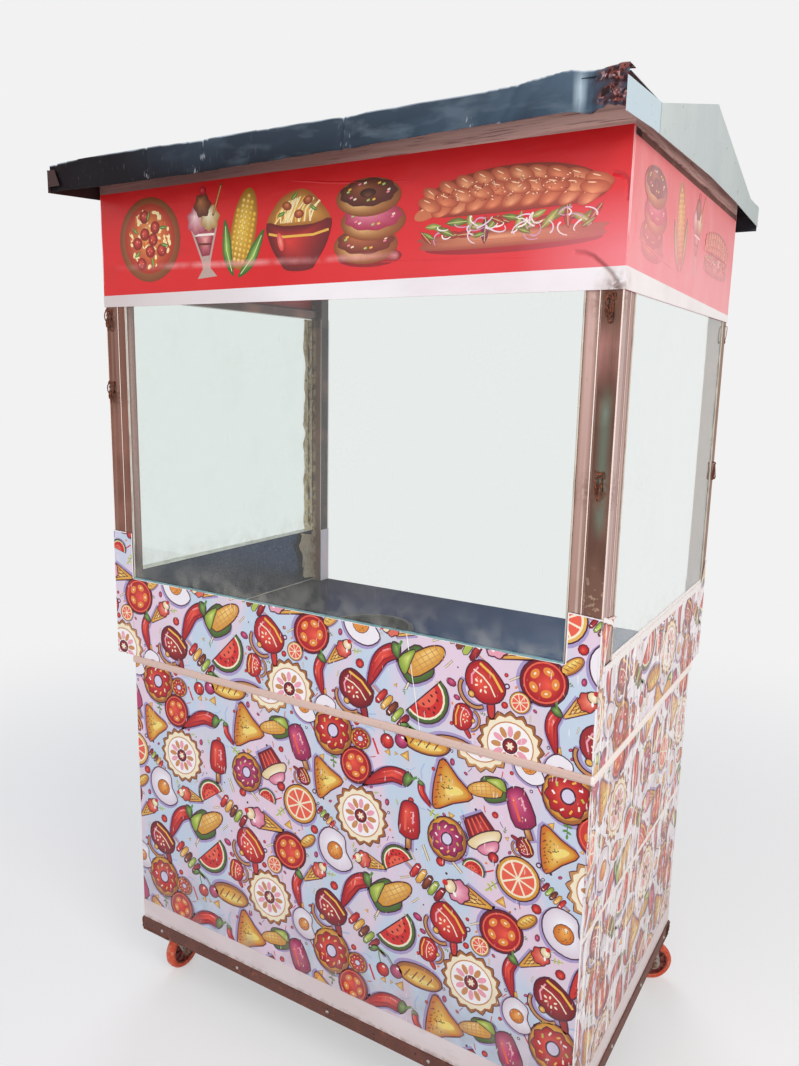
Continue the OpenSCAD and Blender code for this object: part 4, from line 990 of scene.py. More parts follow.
class Print:
    """A piece of flat printed shapes on a wall. Shapes are in mm along the wall, up it and off it."""

    FIRST_MM = 0.12
    LAYER_MM = 0.06
    LAYERS = 20
    FADE_RINGS = (0.0, 0.16, 0.4, 0.7)
    SMALL_MM2 = 900

    def __init__(self, origin, along_wall, up=(0, 0, 1)):
        self.origin, self.s, self.t = Vector(origin), Vector(along_wall), Vector(up)
        self.out = self.s.cross(self.t)
        self.verts, self.faces, self.tints = [], [], []

    def points(self, outline, height):
        self.verts += [self.origin + (self.s * x + self.t * y + self.out * height) * MM for x, y in outline]

    def face(self, corners, tints):
        self.faces.append(corners)
        self.tints += tints

    def shape(self, paint, outline, layer):
        if area(outline) < 0:
            outline = outline[::-1]
        if area(outline) < 0.5:
            return
        n, base = len(outline), len(self.verts)
        fade = paint if isinstance(paint, Fade) else Fade(paint, paint, (0, 0))
        fade = fade._replace(rim=INKS.get(fade.rim, fade.rim), core=INKS.get(fade.core, fade.core))
        if isinstance(paint, Fade) and not faces_point(outline, fade.lit):
            paint = tone(fade.rim, fade.core, 0.5)
            fade = fade._replace(rim=paint)
        rim = colour(fade.rim)
        lift = self.FIRST_MM + min(layer, self.LAYERS) * self.LAYER_MM
        self.points(outline, 0.0)
        self.points(outline, lift)
        for k in range(n):
            m = (k + 1) % n
            self.face((base + k, base + m, base + n + m, base + n + k), [rim] * 4)
        for a, b, c in geometry.tessellate_polygon([[Vector((x, y, 0)) for x, y in outline]]):
            turned = ((outline[b][0] - outline[a][0]) * (outline[c][1] - outline[a][1])
                      - (outline[c][0] - outline[a][0]) * (outline[b][1] - outline[a][1]))
            if turned < 0:
                b, c = c, b
            self.face((base + a, base + c, base + b), [rim] * 3)
            if not isinstance(paint, Fade):
                self.face((base + n + a, base + n + b, base + n + c), [rim] * 3)
        if isinstance(paint, Fade):
            self.fade(fade, outline, lift, base + n)

    def fade(self, fade, outline, lift, first):
        """The face of a faded shape: rings that close on the point lit."""
        n, (cx, cy) = len(outline), fade.lit
        shares = self.FADE_RINGS if area(outline) > self.SMALL_MM2 else self.FADE_RINGS[::2]
        tints = [colour(tone(fade.rim, fade.core, share)) for share in (*shares, 1.0)]
        for share in shares[1:]:
            self.points([(x + (cx - x) * share, y + (cy - y) * share) for x, y in outline], lift)
        self.points([(cx, cy)], lift)
        for ring in range(len(shares)):
            here, there = first + ring * n, first + (ring + 1) * n
            for k in range(n):
                m = (k + 1) % n
                if ring < len(shares) - 1:
                    self.face((here + k, here + m, there + m, there + k),
                              [tints[ring]] * 2 + [tints[ring + 1]] * 2)
                else:
                    self.face((here + k, here + m, there), [tints[ring]] * 2 + [tints[ring + 1]])

    def motif(self, shapes, x, y, region):
        for paint, outline, layer in shapes:
            cut = clipped([(x + px, y + py) for px, py in outline], region)
            if isinstance(paint, Fade):
                paint = paint._replace(lit=(x + paint.lit[0], y + paint.lit[1]))
            if cut:
                self.shape(paint, cut, layer)

    def film(self, tile, region, shift):
        """Covers a convex region with the repeating tile, moved by shift."""
        low = [min(p[k] for p in region) for k in (0, 1)]
        high = [max(p[k] for p in region) for k in (0, 1)]
        for cx, cy, reach, shapes in tile:
            edge = reach * 1.3
            starts = [low[k] - edge + (c + shift[k] - low[k] + edge) % TILE_MM for k,
                      c in ((0, cx), (1, cy))]
            for i in range(int((high[0] + edge - starts[0]) // TILE_MM) + 1):
                for j in range(int((high[1] + edge - starts[1]) // TILE_MM) + 1):
                    self.motif(shapes, starts[0] + i * TILE_MM, starts[1] + j * TILE_MM, region)

    def made(self, name, coat, slot):
        mesh = bpy.data.meshes.new(name)
        mesh.from_pydata(self.verts, [], self.faces)
        mesh.color_attributes.new("ink", "FLOAT_COLOR", "CORNER").data.foreach_set(
            "color", np.array(self.tints, np.float32).ravel())
        return settle(name, mesh, coat, "kiosk")


def settle(name, mesh, coat, body):
    """Links a mesh as a piece that rides on a body, with its material."""
    mesh.materials.clear()
    mesh.materials.append(coat)
    piece = bpy.data.objects.new(name, mesh)
    bpy.context.scene.collection.objects.link(piece)
    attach(piece, body)
    return piece


# The CAD nodes' finishes: node names by material
COATS = {
    RUSTED_ENAMEL: ["base_frame"],
    CASTOR_ZINC: ["castor_plates"] + ["castor_fork_" + c for c in ("fl", "fr", "rl", "rr")],
    WHEEL_TREAD: ["castor_wheel_" + c for c in ("fl", "fr", "rl", "rr")],
    PRIMED_TUBE: ["cabinet_frame", "counter_frame", "fascia_frame"],
    GALVANISED_SHEET: ["cabinet_floor", "counter_bottom"],
    PRINTED_FILM: [part + side for part in ("cabinet_", "counter_")
                   for side in ("front", "left", "right", "rear")],
    PALE_SKIRTING: ["skirting"],
    PALE_MOULDING: ["seam_strips"],
    STAINLESS_TRAY_SHEET: ["counter_tray"],
    SOOTY_STEEL: ["burner_well"],
    STAINLESS_TUBE: ["post_front_left", "post_front_right", "post_rear_left", "post_rear_right",
                     "window_jambs"],
    STAINLESS_RAIL: ["window_heads"],
    window_glass(): ["glass_front", "glass_left", "glass_right"],
    RUSTED_IRON: ["tie_hooks"],
    BANNER_VINYL: ["fascia_" + side for side in ("front", "left", "right", "rear")],
    WHITE_BAND: ["fascia_band"],
    BATTEN_WOOD: ["roof_battens"],
    MAROON_PRIMER: ["roof_frame"],
    DARK_ROOF_PAINT: ["roof_sheet", "roof_lip_front", "roof_lip_rear"],
    GREY_GABLE_SHEET: ["gable_left", "gable_right"],
}
for coat, names in COATS.items():
    for name in names:
        NODES[name].data.materials.clear()
        NODES[name].data.materials.append(coat)


# Printed walls. Each is drawn in mm: the distance along it, and the height above the floor
ALONG = {"front": (1, 0, 0), "right": (0, 1, 0), "left": (0, -1, 0), "rear": (-1, 0, 0)}
SEAM_MM = 17
PRINT_MARGIN_MM = 0.6


def outer_faces(node, side):
    """A node's convex faces that look out on a side, as outlines on the wall, and the wall's origin."""
    way = Vector(ALONG[side])
    out = way.cross(Vector((0, 0, 1)))
    sheet = bmesh.new()
    sheet.from_mesh(NODES[node].data)
    bmesh.ops.remove_doubles(sheet, verts=sheet.verts, dist=1e-5)
    bmesh.ops.dissolve_limit(sheet, angle_limit=0.01, verts=sheet.verts, edges=sheet.edges)
    bmesh.ops.connect_verts_concave(sheet, faces=sheet.faces)
    plane = max(v.co.dot(out) for v in sheet.verts)
    faces = [[(v.co.dot(way) / MM, v.co.z / MM) for v in f.verts] for f in sheet.faces
             if f.normal.dot(out) > 0.99 and f.calc_center_median().dot(out) > plane - 1e-4]
    sheet.free()
    return faces, out * plane


def band(low, high):
    """A region as long as any wall, between two heights in mm."""
    return [(-5000, low), (5000, low), (5000, high), (-5000, high)]


TILE = film_tile()
skirting_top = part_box("skirting")[1].z / MM + PRINT_MARGIN_MM
seam_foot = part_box("seam_strips")[1].z / MM - SEAM_MM - PRINT_MARGIN_MM
for number, side in enumerate(ALONG):
    for part, low, high in (("cabinet", skirting_top, seam_foot), ("counter", 0, 5000)):
        faces, origin = outer_faces(part + "_" + side, side)
        sheet = Print(origin, ALONG[side])
        for face in faces:
            region = clipped(face, band(low, high))
            if region:
                sheet.film(TILE, region, (137 * number + (60 if part == "counter" else 0), 90 * number))
        sheet.made("print_" + part + "_" + side, FILM_INKS, "printed_sheet")


# Pictures on the fascia: bigger motifs with rounded shading, drawn 1 in radius like the film's
def leaf(x, y, size, turn, rim="#2E5A22", core="#8CBC4A"):
    c, s = cos(math.radians(turn)), sin(math.radians(turn))
    blade = knots(-100, 0, -50, 28, 10, 34, 60, 20, 105, 0, 60, -20, 10, -30, -50, -26)
    outline = [(x + size * (px * c - py * s), y + size * (px * s + py * c)) for px, py in blade][::-1]
    vein = [(x - size * 0.8 * c, y - size * 0.8 * s), (x + size * 0.9 * c, y + size * 0.9 * s)]
    return shaded(outline, rim, core, (x + size * 0.1, y)) + [("#C4DC8A", stroke(vein, size * 0.05))]


def plaited_loaf():
    """A long plaited loaf with seeds, on salad leaves and curls of onion, on a board."""
    rng = random.Random(31)
    shapes = shaded(oval(0.05, -0.72, 1.86, 0.15, steps=30), "#7E1218", "#A4181E", (0, -0.72))
    board = curve(-178, -72, -186, -58, -170, -47, 170, -47, 190, -58, 178, -72, 0, -76, steps=4)[::-1]
    shapes += shaded(board, "#8E4A30", "#E0A478", (-0.2, -0.56))
    shapes += [("#B87450", stroke([(-1.6 + 0.1 * k, -0.6 - 0.03 * (k % 3)),
                                   (1.2 + 0.08 * k, -0.62 - 0.03 * (k % 3))], 0.012)) for k in range(4)]
    for k in (*range(0, 26, 2), *range(1, 26, 2)):
        x, y = -1.75 + 0.14 * k + rng.uniform(-0.04, 0.04), -0.36 + rng.uniform(-0.14, 0.14)
        rim, core = rng.choice((("#2F5A20", "#86B04A"), ("#5A7A2A", "#C4D478"), ("#4A1834", "#8E3A64"),
                                ("#6E2018", "#C8503C")))
        shapes += leaf(x, y, rng.uniform(0.18, 0.27), rng.uniform(-60, 240), rim, core)
    for k in range(30):
        x, y = rng.uniform(-1.7, 1.7), -0.38 + rng.uniform(-0.16, 0.16)
        arc = oval(x, y, rng.uniform(0.12, 0.26), rng.uniform(0.06, 0.14), rng.uniform(-30, 30),
                   rng.uniform(0, 360), rng.uniform(90, 200), 16)
        shapes.append((rng.choice(("#F6F0EE", "#E9DDE6", "#FBF6EC", "#C9A0BC")), stroke(arc, 0.035, 0.5)))
    body = curve(-195, -12, -180, 22, -130, 50, -50, 68, 40, 70, 120, 56, 175, 28, 197, -8, 170, -30, 90,
                 -36, -90, -36, -170, -30, steps=4)[::-1]
    loaf = shaded(body, "#7A2E1A", "#C86A42", (0, 0.1))
    for row, lean, drop in ((1, -34, 0.12), (-1, 34, 0.62), (0, -20, 0.38)):
        for k in (*range(0, 10, 2), *range(1, 10, 2)):
            x = -1.7 + 0.38 * k + 0.08 * row
            arch = 0.5 * (1 - (x / 2.05) ** 2)
            y = arch + 0.1 - drop * (0.55 + arch)
            lump = oval(x, y, 0.3, 0.15 + 0.06 * arch, lean + 6 * x, steps=18)
            loaf += shaded(lump, "#A2482A", ("#EE9E6C", "#E88E60", "#F2AA78")[k % 3], (x - 0.05, y + 0.06))
            loaf.append(("#F9D2A8", oval(x - 0.06, y + 0.1, 0.09, 0.014, lean + 6 * x, steps=8)))
    loaf += specks("#5A1E12", 50, (1.6, 0.26), 0.022, 12, (0, 0.16))
    loaf += specks("#FBE6C0", 70, (1.6, 0.26), 0.022, 13, (0, 0.2))
    shapes += [(tone, [(x, 0.16 + 0.78 * y) for x, y in line]) for tone, line in loaf]
    for x, y, turn in ((-1.72, -0.44, 150), (-0.6, -0.5, 10), (0.35, -0.5, -20), (1.62, -0.46, 30)):
        shapes += leaf(x, y, 0.15, turn)
    return shapes


def noodle_bowl():
    heap = curve(-78, 0, -62, 45, -25, 68, 20, 72, 60, 42, 78, 0, steps=4)[::-1]
    shapes = shaded(heap, "#9A5A1E", "#F2C463", (0, 0.36))
    rng = random.Random(4)
    for _ in range(26):
        x = rng.uniform(-0.55, 0.5)
        top = 0.58 - 0.55 * x * x
        shapes.append((rng.choice(("#F9DC94", "#EDB654", "#FBE9B4", "#C98A34")),
                       stroke([(x - 0.13, 0.08), (x + rng.uniform(-0.15, 0.1), top * 0.6), (x + 0.12, top)],
                              0.035)))
    for x, y in ((-0.3, 0.42), (0.26, 0.5), (0.02, 0.24)):
        shapes += shaded(oval(x, y, 0.13, 0.09, 30 * x, steps=12), "#7A2A14", "#E08A50", (x, y + 0.03))
    for x, y, turn in ((-0.1, 0.6, 40), (0.4, 0.34, 150), (-0.45, 0.26, 20)):
        shapes += leaf(x, y, 0.12, turn)
    bowl = curve(-86, 10, -76, -35, -50, -72, -30, -90, 30, -90, 50, -72, 76, -35, 86, 10, 40, 2, -40, 2,
                 steps=3)
    shapes += shaded(bowl, "#5A0F12", "#D83A32", (-0.25, -0.3))
    shapes.append(ribbon("#E9B44C", 0.05, -80, -12, -40, -20, 40, -20, 80, -12))
    return shapes + shaded(oval(-0.48, -0.3, 0.08, 0.2, 15, steps=12), "#DC4A40", "#F59A8A", (-0.48, -0.28))


def sundae():
    glass = knots(-42, 20, -14, -55, -12, -72, -30, -92, 30, -92, 12, -72, 14, -55, 42, 20)
    shapes = shaded(glass, "#7E5A50", "#F2E2D6", (-0.06, -0.3))
    shapes += shaded(knots(-34, 14, -12, -44, 12, -44, 34, 14), "#8A2A3A", "#F0A8A0", (0.02, -0.08))
    shapes += [ribbon("#F8E8DC", 0.05, -30, 5, 30, 0), ribbon("#6E2A1C", 0.05, -22, -16, 20, -20)]
    shapes += shaded(scallop(-0.2, 0.36, 0.3, 0.03, 7), "#A8525E", "#FBDAD4", (-0.26, 0.46))
    shapes += shaded(scallop(0.2, 0.38, 0.28, 0.03, 7), "#A8844A", "#FFF6DA", (0.14, 0.48))
    shapes += shaded(scallop(0.0, 0.66, 0.25, 0.03, 6), "#552616", "#B8784A", (-0.06, 0.76))
    shapes += shaded(oval(0.04, 0.97, 0.1, steps=12), "#8A0C1C", "#F0504A", (0.01, 1.0))
    return shapes + [ribbon("#7A4A2A", 0.06, 30, 40, 62, 105), ribbon("#D89A54", 0.03, 32, 44, 60, 100)]


def flat_round():
    shapes = shaded(oval(0, 0, 0.97, 0.92, steps=28), "#7A3A18", "#F0BC70", (-0.1, 0.1))
    shapes += shaded(oval(0, 0.02, 0.8, 0.76, steps=26), "#A82A1A", "#F4B45E", (0.05, 0.12))
    shapes += specks("#FBE6A8", 46, (0.66, 0.62), 0.08, 5) + specks("#D8642C", 26, (0.66, 0.62), 0.06, 6)
    for k in range(8):
        a, r = 2.4 * k, 0.12 + 0.066 * k
        x, y = r * cos(a), r * sin(a)
        shapes += shaded(oval(x, y, 0.15, 0.14, steps=14), "#7C1214", "#E2543E", (x - 0.03, y + 0.04))
        shapes += specks("#F4A890", 3, (0.08, 0.07), 0.02, 10 + k, (x, y))
    for k in range(6):
        shapes += leaf(0.5 * cos(1.1 * k + 0.5), 0.5 * sin(1.1 * k + 0.5), 0.12, 70 * k)
    return shapes


def maize():
    shapes = []
    body = curve(30, -70, 36, 30, 20, 85, 0, 100, -20, 85, -36, 30, -30, -70, steps=4)
    shapes += shaded(body, "#9A6414", "#F6D860", (-0.06, 0.2))
    for j in range(13):
        for i in range(5):
            x, y = -0.25 + 0.125 * i, -0.62 + 0.12 * j
            if abs(x) < 0.31 - max(0, j - 9) * 0.075:
                shapes += shaded(oval(x, y, 0.056, 0.056, steps=8), "#C48A1C",
                                 "#FFEFA0" if abs(x + 0.06) < 0.14 else "#F6D25C", (x - 0.01, y + 0.02))
    for turn in (-1, 1):
        blade = smooth([(turn * 0.08, -1.0), (turn * 0.5, -0.6), (turn * 0.62, 0.2), (turn * 0.34, -0.2),
                        (turn * 0.2, -0.6)], 4)
        shapes += shaded(blade if area(blade) > 0 else blade[::-1], "#2C561E", "#A8C85C",
                         (turn * 0.42, -0.4))
        shapes.append(("#D4E49A", stroke([(turn * 0.14, -0.9), (turn * 0.42, -0.45), (turn * 0.56, 0.05)],
                                         0.02)))
    return shapes


def stacked_rings():
    """Three ring cakes piled up, with icing and sprinkles."""
    shapes = shaded(oval(0, -0.8, 0.8, 0.2, steps=20), "#7A1014", "#A01A1C", (0, -0.8))
    layers = ((-0.1, -0.56, "#5A2414", "#C87A4A"), (0.08, -0.1, "#A02848", "#F6A0B0"),
              (-0.04, 0.38, "#3E180E", "#9A5A36"))
    for x, y, rim, core in layers:
        shapes += shaded(oval(x, y, 0.8, 0.38, steps=24), "#7A4218", "#F0C684", (x - 0.3, y - 0.12))
        icing = scallop(0, 0, 1, 0.05, 9)
        shapes += shaded([(x + 0.7 * px, y + 0.09 + 0.27 * py) for px, py in icing], rim, core,
                         (x - 0.2, y + 0.2))
        shapes += [(("#FBE8C8", "#F2C24E", "#F08AA0", "#A8D070")[j % 4],
                    stroke([(x + 0.5 * cos(j) - 0.03, y + 0.1 + 0.17 * sin(j)),
                            (x + 0.5 * cos(j) + 0.04, y + 0.12 + 0.17 * sin(j))], 0.035))
                   for j in range(12)]
    shapes += shaded(oval(-0.04, 0.46, 0.2, 0.09, steps=14), "#1E0C08", "#7A4A2C", (-0.04, 0.4))
    return shapes


PICTURE_FOOT_MM = 1745
# Each picture's distance along the wall, height, size in mm and turn
PICTURES = {
    "front": [(flat_round, -456, 1844, 97, 0), (sundae, -292, 1842, 92, 4), (maize, -186, 1841, 88, -14),
              (noodle_bowl, -44, 1845, 92, 0),
              (stacked_rings, 122, 1850, 90, 0), (plaited_loaf, 400, 1848, 88, 1)],
    "right": [(stacked_rings, -290, 1848, 88, 0), (maize, -110, 1845, 80, 10), (sundae, 20, 1845, 80, 0),
              (plaited_loaf, 215, 1838, 60, 0)],
    "left": [(noodle_bowl, -250, 1842, 82, 0), (plaited_loaf, 20, 1848, 74, 0),
             (flat_round, 290, 1842, 74, 0)],
    "rear": [(flat_round, -420, 1880, 56, 0), (plaited_loaf, -130, 1882, 50, 0),
             (stacked_rings, 130, 1880, 54, 0), (maize, 350, 1880, 58, 60)],
}
for side, pictures in PICTURES.items():
    faces, origin = outer_faces("fascia_" + side, side)
    sheet = Print(origin, ALONG[side])
    for face in faces:
        region = clipped(face, band(PICTURE_FOOT_MM, 5000))
        for picture, x, height, size, turn in pictures:
            sheet.motif(placed(picture(), size, turn), x, height, region)
    sheet.made("print_fascia_" + side, BANNER_INKS, "red_banner")


# The roof's front lip: the frame's own outline, with the dents and folds of rough handling
LIP_STEP_MM = 4.5
LIP_ROWS = 12
HEM_ROWS = 4
HEM_BACK_MM = 28
# Folds across the lip: place and lean in mm along it, width, depth, and how far the paint is worn there
FOLDS = [(-612, 8, 5, 2.5, 0.3), (-331, -5, 5, 2.5, 0.5), (-233, 6, 9, 2.0, 0.2), (-186, 4, 3, 3.5, 0.9),
         (-168, -8, 5, 2.0, 0.5), (-24, 3, 7, 2.0, 0.3), (137, 6, 4, 4.0, 0.9), (152, -6, 6, 2.5, 0.6),
         (248, 0, 22, 1.8, 0.0), (446, 30, 6, 3.0, 0.55), (556, 10, 9, 6.0, 0.15), (568, 6, 9, 3.0, 0.3),
         (592, -8, 7, 4.0, 0.3)]
# Where one length of sheet laps the next, the one on the right stands out by this much
LAPS = [(-183, 2.0), (144, 2.6)]
# The rusted corner: a torn hole, and where the sheet is crumpled round it
HOLE_AT_MM = (598, 1967)
HOLE_MM = (8, 5)
CRUMPLE_FROM_MM = 562


def lip_profile(node):
    """For each step along the lip: its place, its lowest and highest point, and a depth at each height."""
    mesh = NODES[node].data
    skin = BVHTree.FromPolygons([v.co for v in mesh.vertices], [p.vertices for p in mesh.polygons])
    low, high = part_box(node)
    columns = round((high.x - low.x) / (LIP_STEP_MM * MM))
    for k in range(columns + 1):
        x = low.x + 0.0005 + (high.x - low.x - 0.001) * k / columns
        hits = {}
        for z_mm in range(int(low.z / MM) - 1, int(high.z / MM) + 2):
            hit = skin.ray_cast(Vector((x, low.y - 0.1, z_mm * MM + 0.0003)), Vector((0, 1, 0)), 0.122)[0]
            if hit:
                hits[z_mm] = hit.y
        yield x, min(hits), max(hits), hits


def build_front_lip():
    sheet = bmesh.new()
    worn = sheet.verts.layers.float.new("worn")
    rust_and_glint = sheet.verts.layers.float.new("rust_and_glint")
    grid = []
    for x, foot, top, depths in lip_profile("roof_lip_front"):
        x_mm = x / MM
        crumple = max(0.0, min(1.0, (x_mm - CRUMPLE_FROM_MM) / 34))
        lap = sum(depth * math.exp((x_mm - at) / 60) for at, depth in LAPS if x_mm < at)
        column = []
        for row in range(LIP_ROWS + HEM_ROWS):
            t = min(row / (LIP_ROWS - 1), 1.0)
            z_mm = foot + (top - foot) * t
            back = HEM_BACK_MM * max(0, row - LIP_ROWS + 1) / HEM_ROWS
            y_mm = depths[min(max(round(z_mm), foot), top)] / MM + back
            wear, dent = 0.0, 0.0
            for at, lean, width, depth, bare in FOLDS:
                near = math.exp(-abs(x_mm - at - lean * (t - 0.5)) / width)
                dent += depth * near * (1.0 if row < LIP_ROWS else 0.4)
                wear += bare * near ** 3
            spot = Vector((x_mm / 120, z_mm / 60, y_mm / 60))
            dent += 2.0 * (1 + noise.noise(spot)) + 0.5 * (1 + noise.noise(spot * 2.9)) + lap
            ridge = 1 - abs(noise.noise(Vector((x_mm / 17, z_mm / 13, 5.0)))) * 2
            dent += crumple * 5.0 * max(0.0, ridge)
            edge = (0.8 * noise.noise(Vector((x_mm / 50, 7.0, 0.0)))
                    + 2.4 * crumple * noise.noise(Vector((x_mm / 11, 3.0, 0.0))))
            pulled = dent * 0.12 if row >= LIP_ROWS - 1 else 0
            z_mm += edge * (1 - t) + 0.6 * noise.noise(Vector((x_mm / 60, 11.0, 0.0))) * t - pulled
            vert = sheet.verts.new((x, (y_mm + dent) * MM, z_mm * MM))
            scratch = noise.noise(Vector((x_mm / 34, z_mm / 9, 2.0)))
            top_edge = 0.85 + 0.5 * scratch if row in (LIP_ROWS - 1, LIP_ROWS) else 0.0
            vert[worn] = min(1.0, wear * (0.7 + 0.6 * scratch) + top_edge
                             + (0.5 * scratch if row == 0 else 0.0)) * (1 - 0.5 * crumple)
            vert[rust_and_glint] = min(1.0, crumple * (0.75 + 0.7 * scratch) + wear * 0.5 * (1 - t)
                              + (0.5 * scratch if row == 0 else 0))
            column.append(vert)
        grid.append(column)
    for left, right in zip(grid, grid[1:]):
        for row in range(len(left) - 1):
            middle = (left[row].co + right[row + 1].co) / 2
            out = [(middle.x / MM - HOLE_AT_MM[0]) / HOLE_MM[0],
                   (middle.z / MM - HOLE_AT_MM[1]) / HOLE_MM[1]]
            if row >= LIP_ROWS - 1 or math.hypot(*out) > 1:
                sheet.faces.new((left[row], right[row], right[row + 1], left[row + 1]))
    mesh = bpy.data.meshes.new("front_lip")
    sheet.to_mesh(mesh)
    sheet.free()
    return solid(mesh, 1.0)


def solid(mesh, thickness_mm):
    """The mesh of a thin sheet given its thickness behind its face."""
    shell = bpy.data.objects.new("shell", mesh)
    bpy.context.scene.collection.objects.link(shell)
    wall = shell.modifiers.new("wall", "SOLIDIFY")
    wall.thickness, wall.offset = thickness_mm * MM, -1.0
    bpy.context.view_layer.update()
    made = bpy.data.meshes.new_from_object(shell.evaluated_get(bpy.context.evaluated_depsgraph_get()))
    bpy.data.objects.remove(shell)
    return made


front_lip = settle("front_lip", build_front_lip(), CREASED_ROOF_PAINT, "kiosk")
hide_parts("roof_lip_front")


# Strips: a small section swept along a path. Paths and sections are in mm
def between(start, end, step=12.0):
    """Points from start to end, about a step apart."""
    a, b = Vector(start), Vector(end)
    count = max(2, round((b - a).length / step))
    return [a.lerp(b, k / count) for k in range(count + 1)]


def reach(start, step=12.0, **far):
    """Points from a start to the same place but for another x, y or z."""
    return between(start, [far.get(axis, value) for axis, value in zip("xyz", start)], step)


def bent(points, steps=5):
    """An open smooth path through the points."""
    points = [Vector(p) for p in points]
    ends = [2 * points[0] - points[1], *points, 2 * points[-1] - points[-2]]
    path = []
    for k in range(len(points) - 1):
        a, b, c, d = ends[k:k + 4]
        for t in (s / steps for s in range(steps)):
            path.append(0.5 * (2 * b + (c - a) * t + (2 * a - 5 * b + 4 * c - d) * t * t
                               + (3 * b - a - 3 * c + d) * t ** 3))
    return path + [points[-1]]


TAPE = [(-0.5, 0.0), (0.5, 0.0), (0.5, 1.0), (-0.5, 1.0)]
RIDGE = [(-0.5, 0.0), (0.5, 0.0), (0.28, 0.6), (0.08, 1.0), (-0.1, 0.95), (-0.3, 0.5)]


class Strips:
    """Strips of one material, gathered in one piece."""

    def __init__(self, seed=1):
        self.sheet = bmesh.new()
        self.seed = seed

    def run(self, path, out, width, height, section=TAPE, taper=False, waver=0.0):
        """A section of a width and a height along a path on a wall, standing out; taper fades its ends."""
        out = Vector(out).normalized()
        rings = []
        self.seed += 1
        for k, point in enumerate(path):
            way = (path[min(k + 1, len(path) - 1)] - path[max(k - 1, 0)]).normalized()
            side = way.cross(out).normalized()
            share = sin(math.pi * (0.06 + 0.88 * k / (len(path) - 1))) ** 0.6 if taper else 1.0
            shift = waver * noise.noise(Vector((k * 0.37, self.seed * 3.7, 0.0)))
            spread = 1 + waver / max(width, 0.1) * noise.noise(Vector((k * 0.61, self.seed * 5.3, 4.0)))
            rings.append([self.sheet.verts.new((point + side * (a * width * share * spread + shift)
                                                + out * (b * height * share)) * MM)
                          for a, b in section])
        for first, second in zip(rings, rings[1:]):
            for k in range(len(section)):
                m = (k + 1) % len(section)
                self.sheet.faces.new((first[k], first[m], second[m], second[k]))
        self.sheet.faces.new(rings[0][::-1])
        self.sheet.faces.new(rings[-1])

    def made(self, name, coat, slot):
        bmesh.ops.recalc_face_normals(self.sheet, faces=self.sheet.faces)
        mesh = bpy.data.meshes.new(name)
        self.sheet.to_mesh(mesh)
        self.sheet.free()
        return settle(name, mesh, coat, "kiosk")


# Geometry Nodes: beads along paths, and screw heads on points
def new_tree(name, *inputs):
    """A Geometry Nodes tree with a geometry input, other named inputs, and a geometry output."""
    tree = bpy.data.node_groups.new(name, "GeometryNodeTree")
    tree.interface.new_socket("Geometry", in_out="INPUT", socket_type="NodeSocketGeometry")
    tree.interface.new_socket("Geometry", in_out="OUTPUT", socket_type="NodeSocketGeometry")
    for label, kind in inputs:
        tree.interface.new_socket(label, in_out="INPUT", socket_type="NodeSocket" + kind)
    return tree, add(tree, "NodeGroupInput").outputs


def close_tree(tree, shape, material):
    """Ends a tree in Realize Instances and Set Material."""
    real = add(tree, "GeometryNodeRealizeInstances", {0: shape})
    coat = add(tree, "GeometryNodeSetMaterial", {"Geometry": real, "Material": material})
    add(tree, "NodeGroupOutput", {0: coat})
    return tree


def bead_tree():
    """A bead of sealant, weld or wire along each edge path of a mesh."""
    tree, given = new_tree("bead_run", ("Radius", "Float"), ("Step", "Float"), ("Unevenness", "Float"),
                           ("Seed", "Int"), ("Sides", "Int"), ("Material", "Material"))
    path = add(tree, "GeometryNodeMeshToCurve", {"Mesh": given["Geometry"]})
    cut = add(tree, "GeometryNodeResampleCurve", {"Curve": path, "Length": given["Step"]}, mode="LENGTH")
    lump = add(tree, "FunctionNodeRandomValue", {"Seed": given["Seed"]}, data_type="FLOAT")
    swing = add(tree, "ShaderNodeMath", {0: lump.outputs[1], 1: given["Unevenness"]}, operation="MULTIPLY")
    share = add(tree, "ShaderNodeMath", {0: 1.0, 1: swing}, operation="SUBTRACT")
    size = add(tree, "ShaderNodeMath", {0: share, 1: given["Radius"]}, operation="MULTIPLY")
    thick = add(tree, "GeometryNodeSetCurveRadius", {"Curve": cut, "Radius": 1.0})
    ring = add(tree, "GeometryNodeCurvePrimitiveCircle", {"Resolution": given["Sides"], "Radius": 1.0})
    tube = add(tree, "GeometryNodeCurveToMesh",
               {"Curve": thick, "Profile Curve": ring,
                                                 "Fill Caps": True, "Scale": size})
    return close_tree(tree, tube, given["Material"])


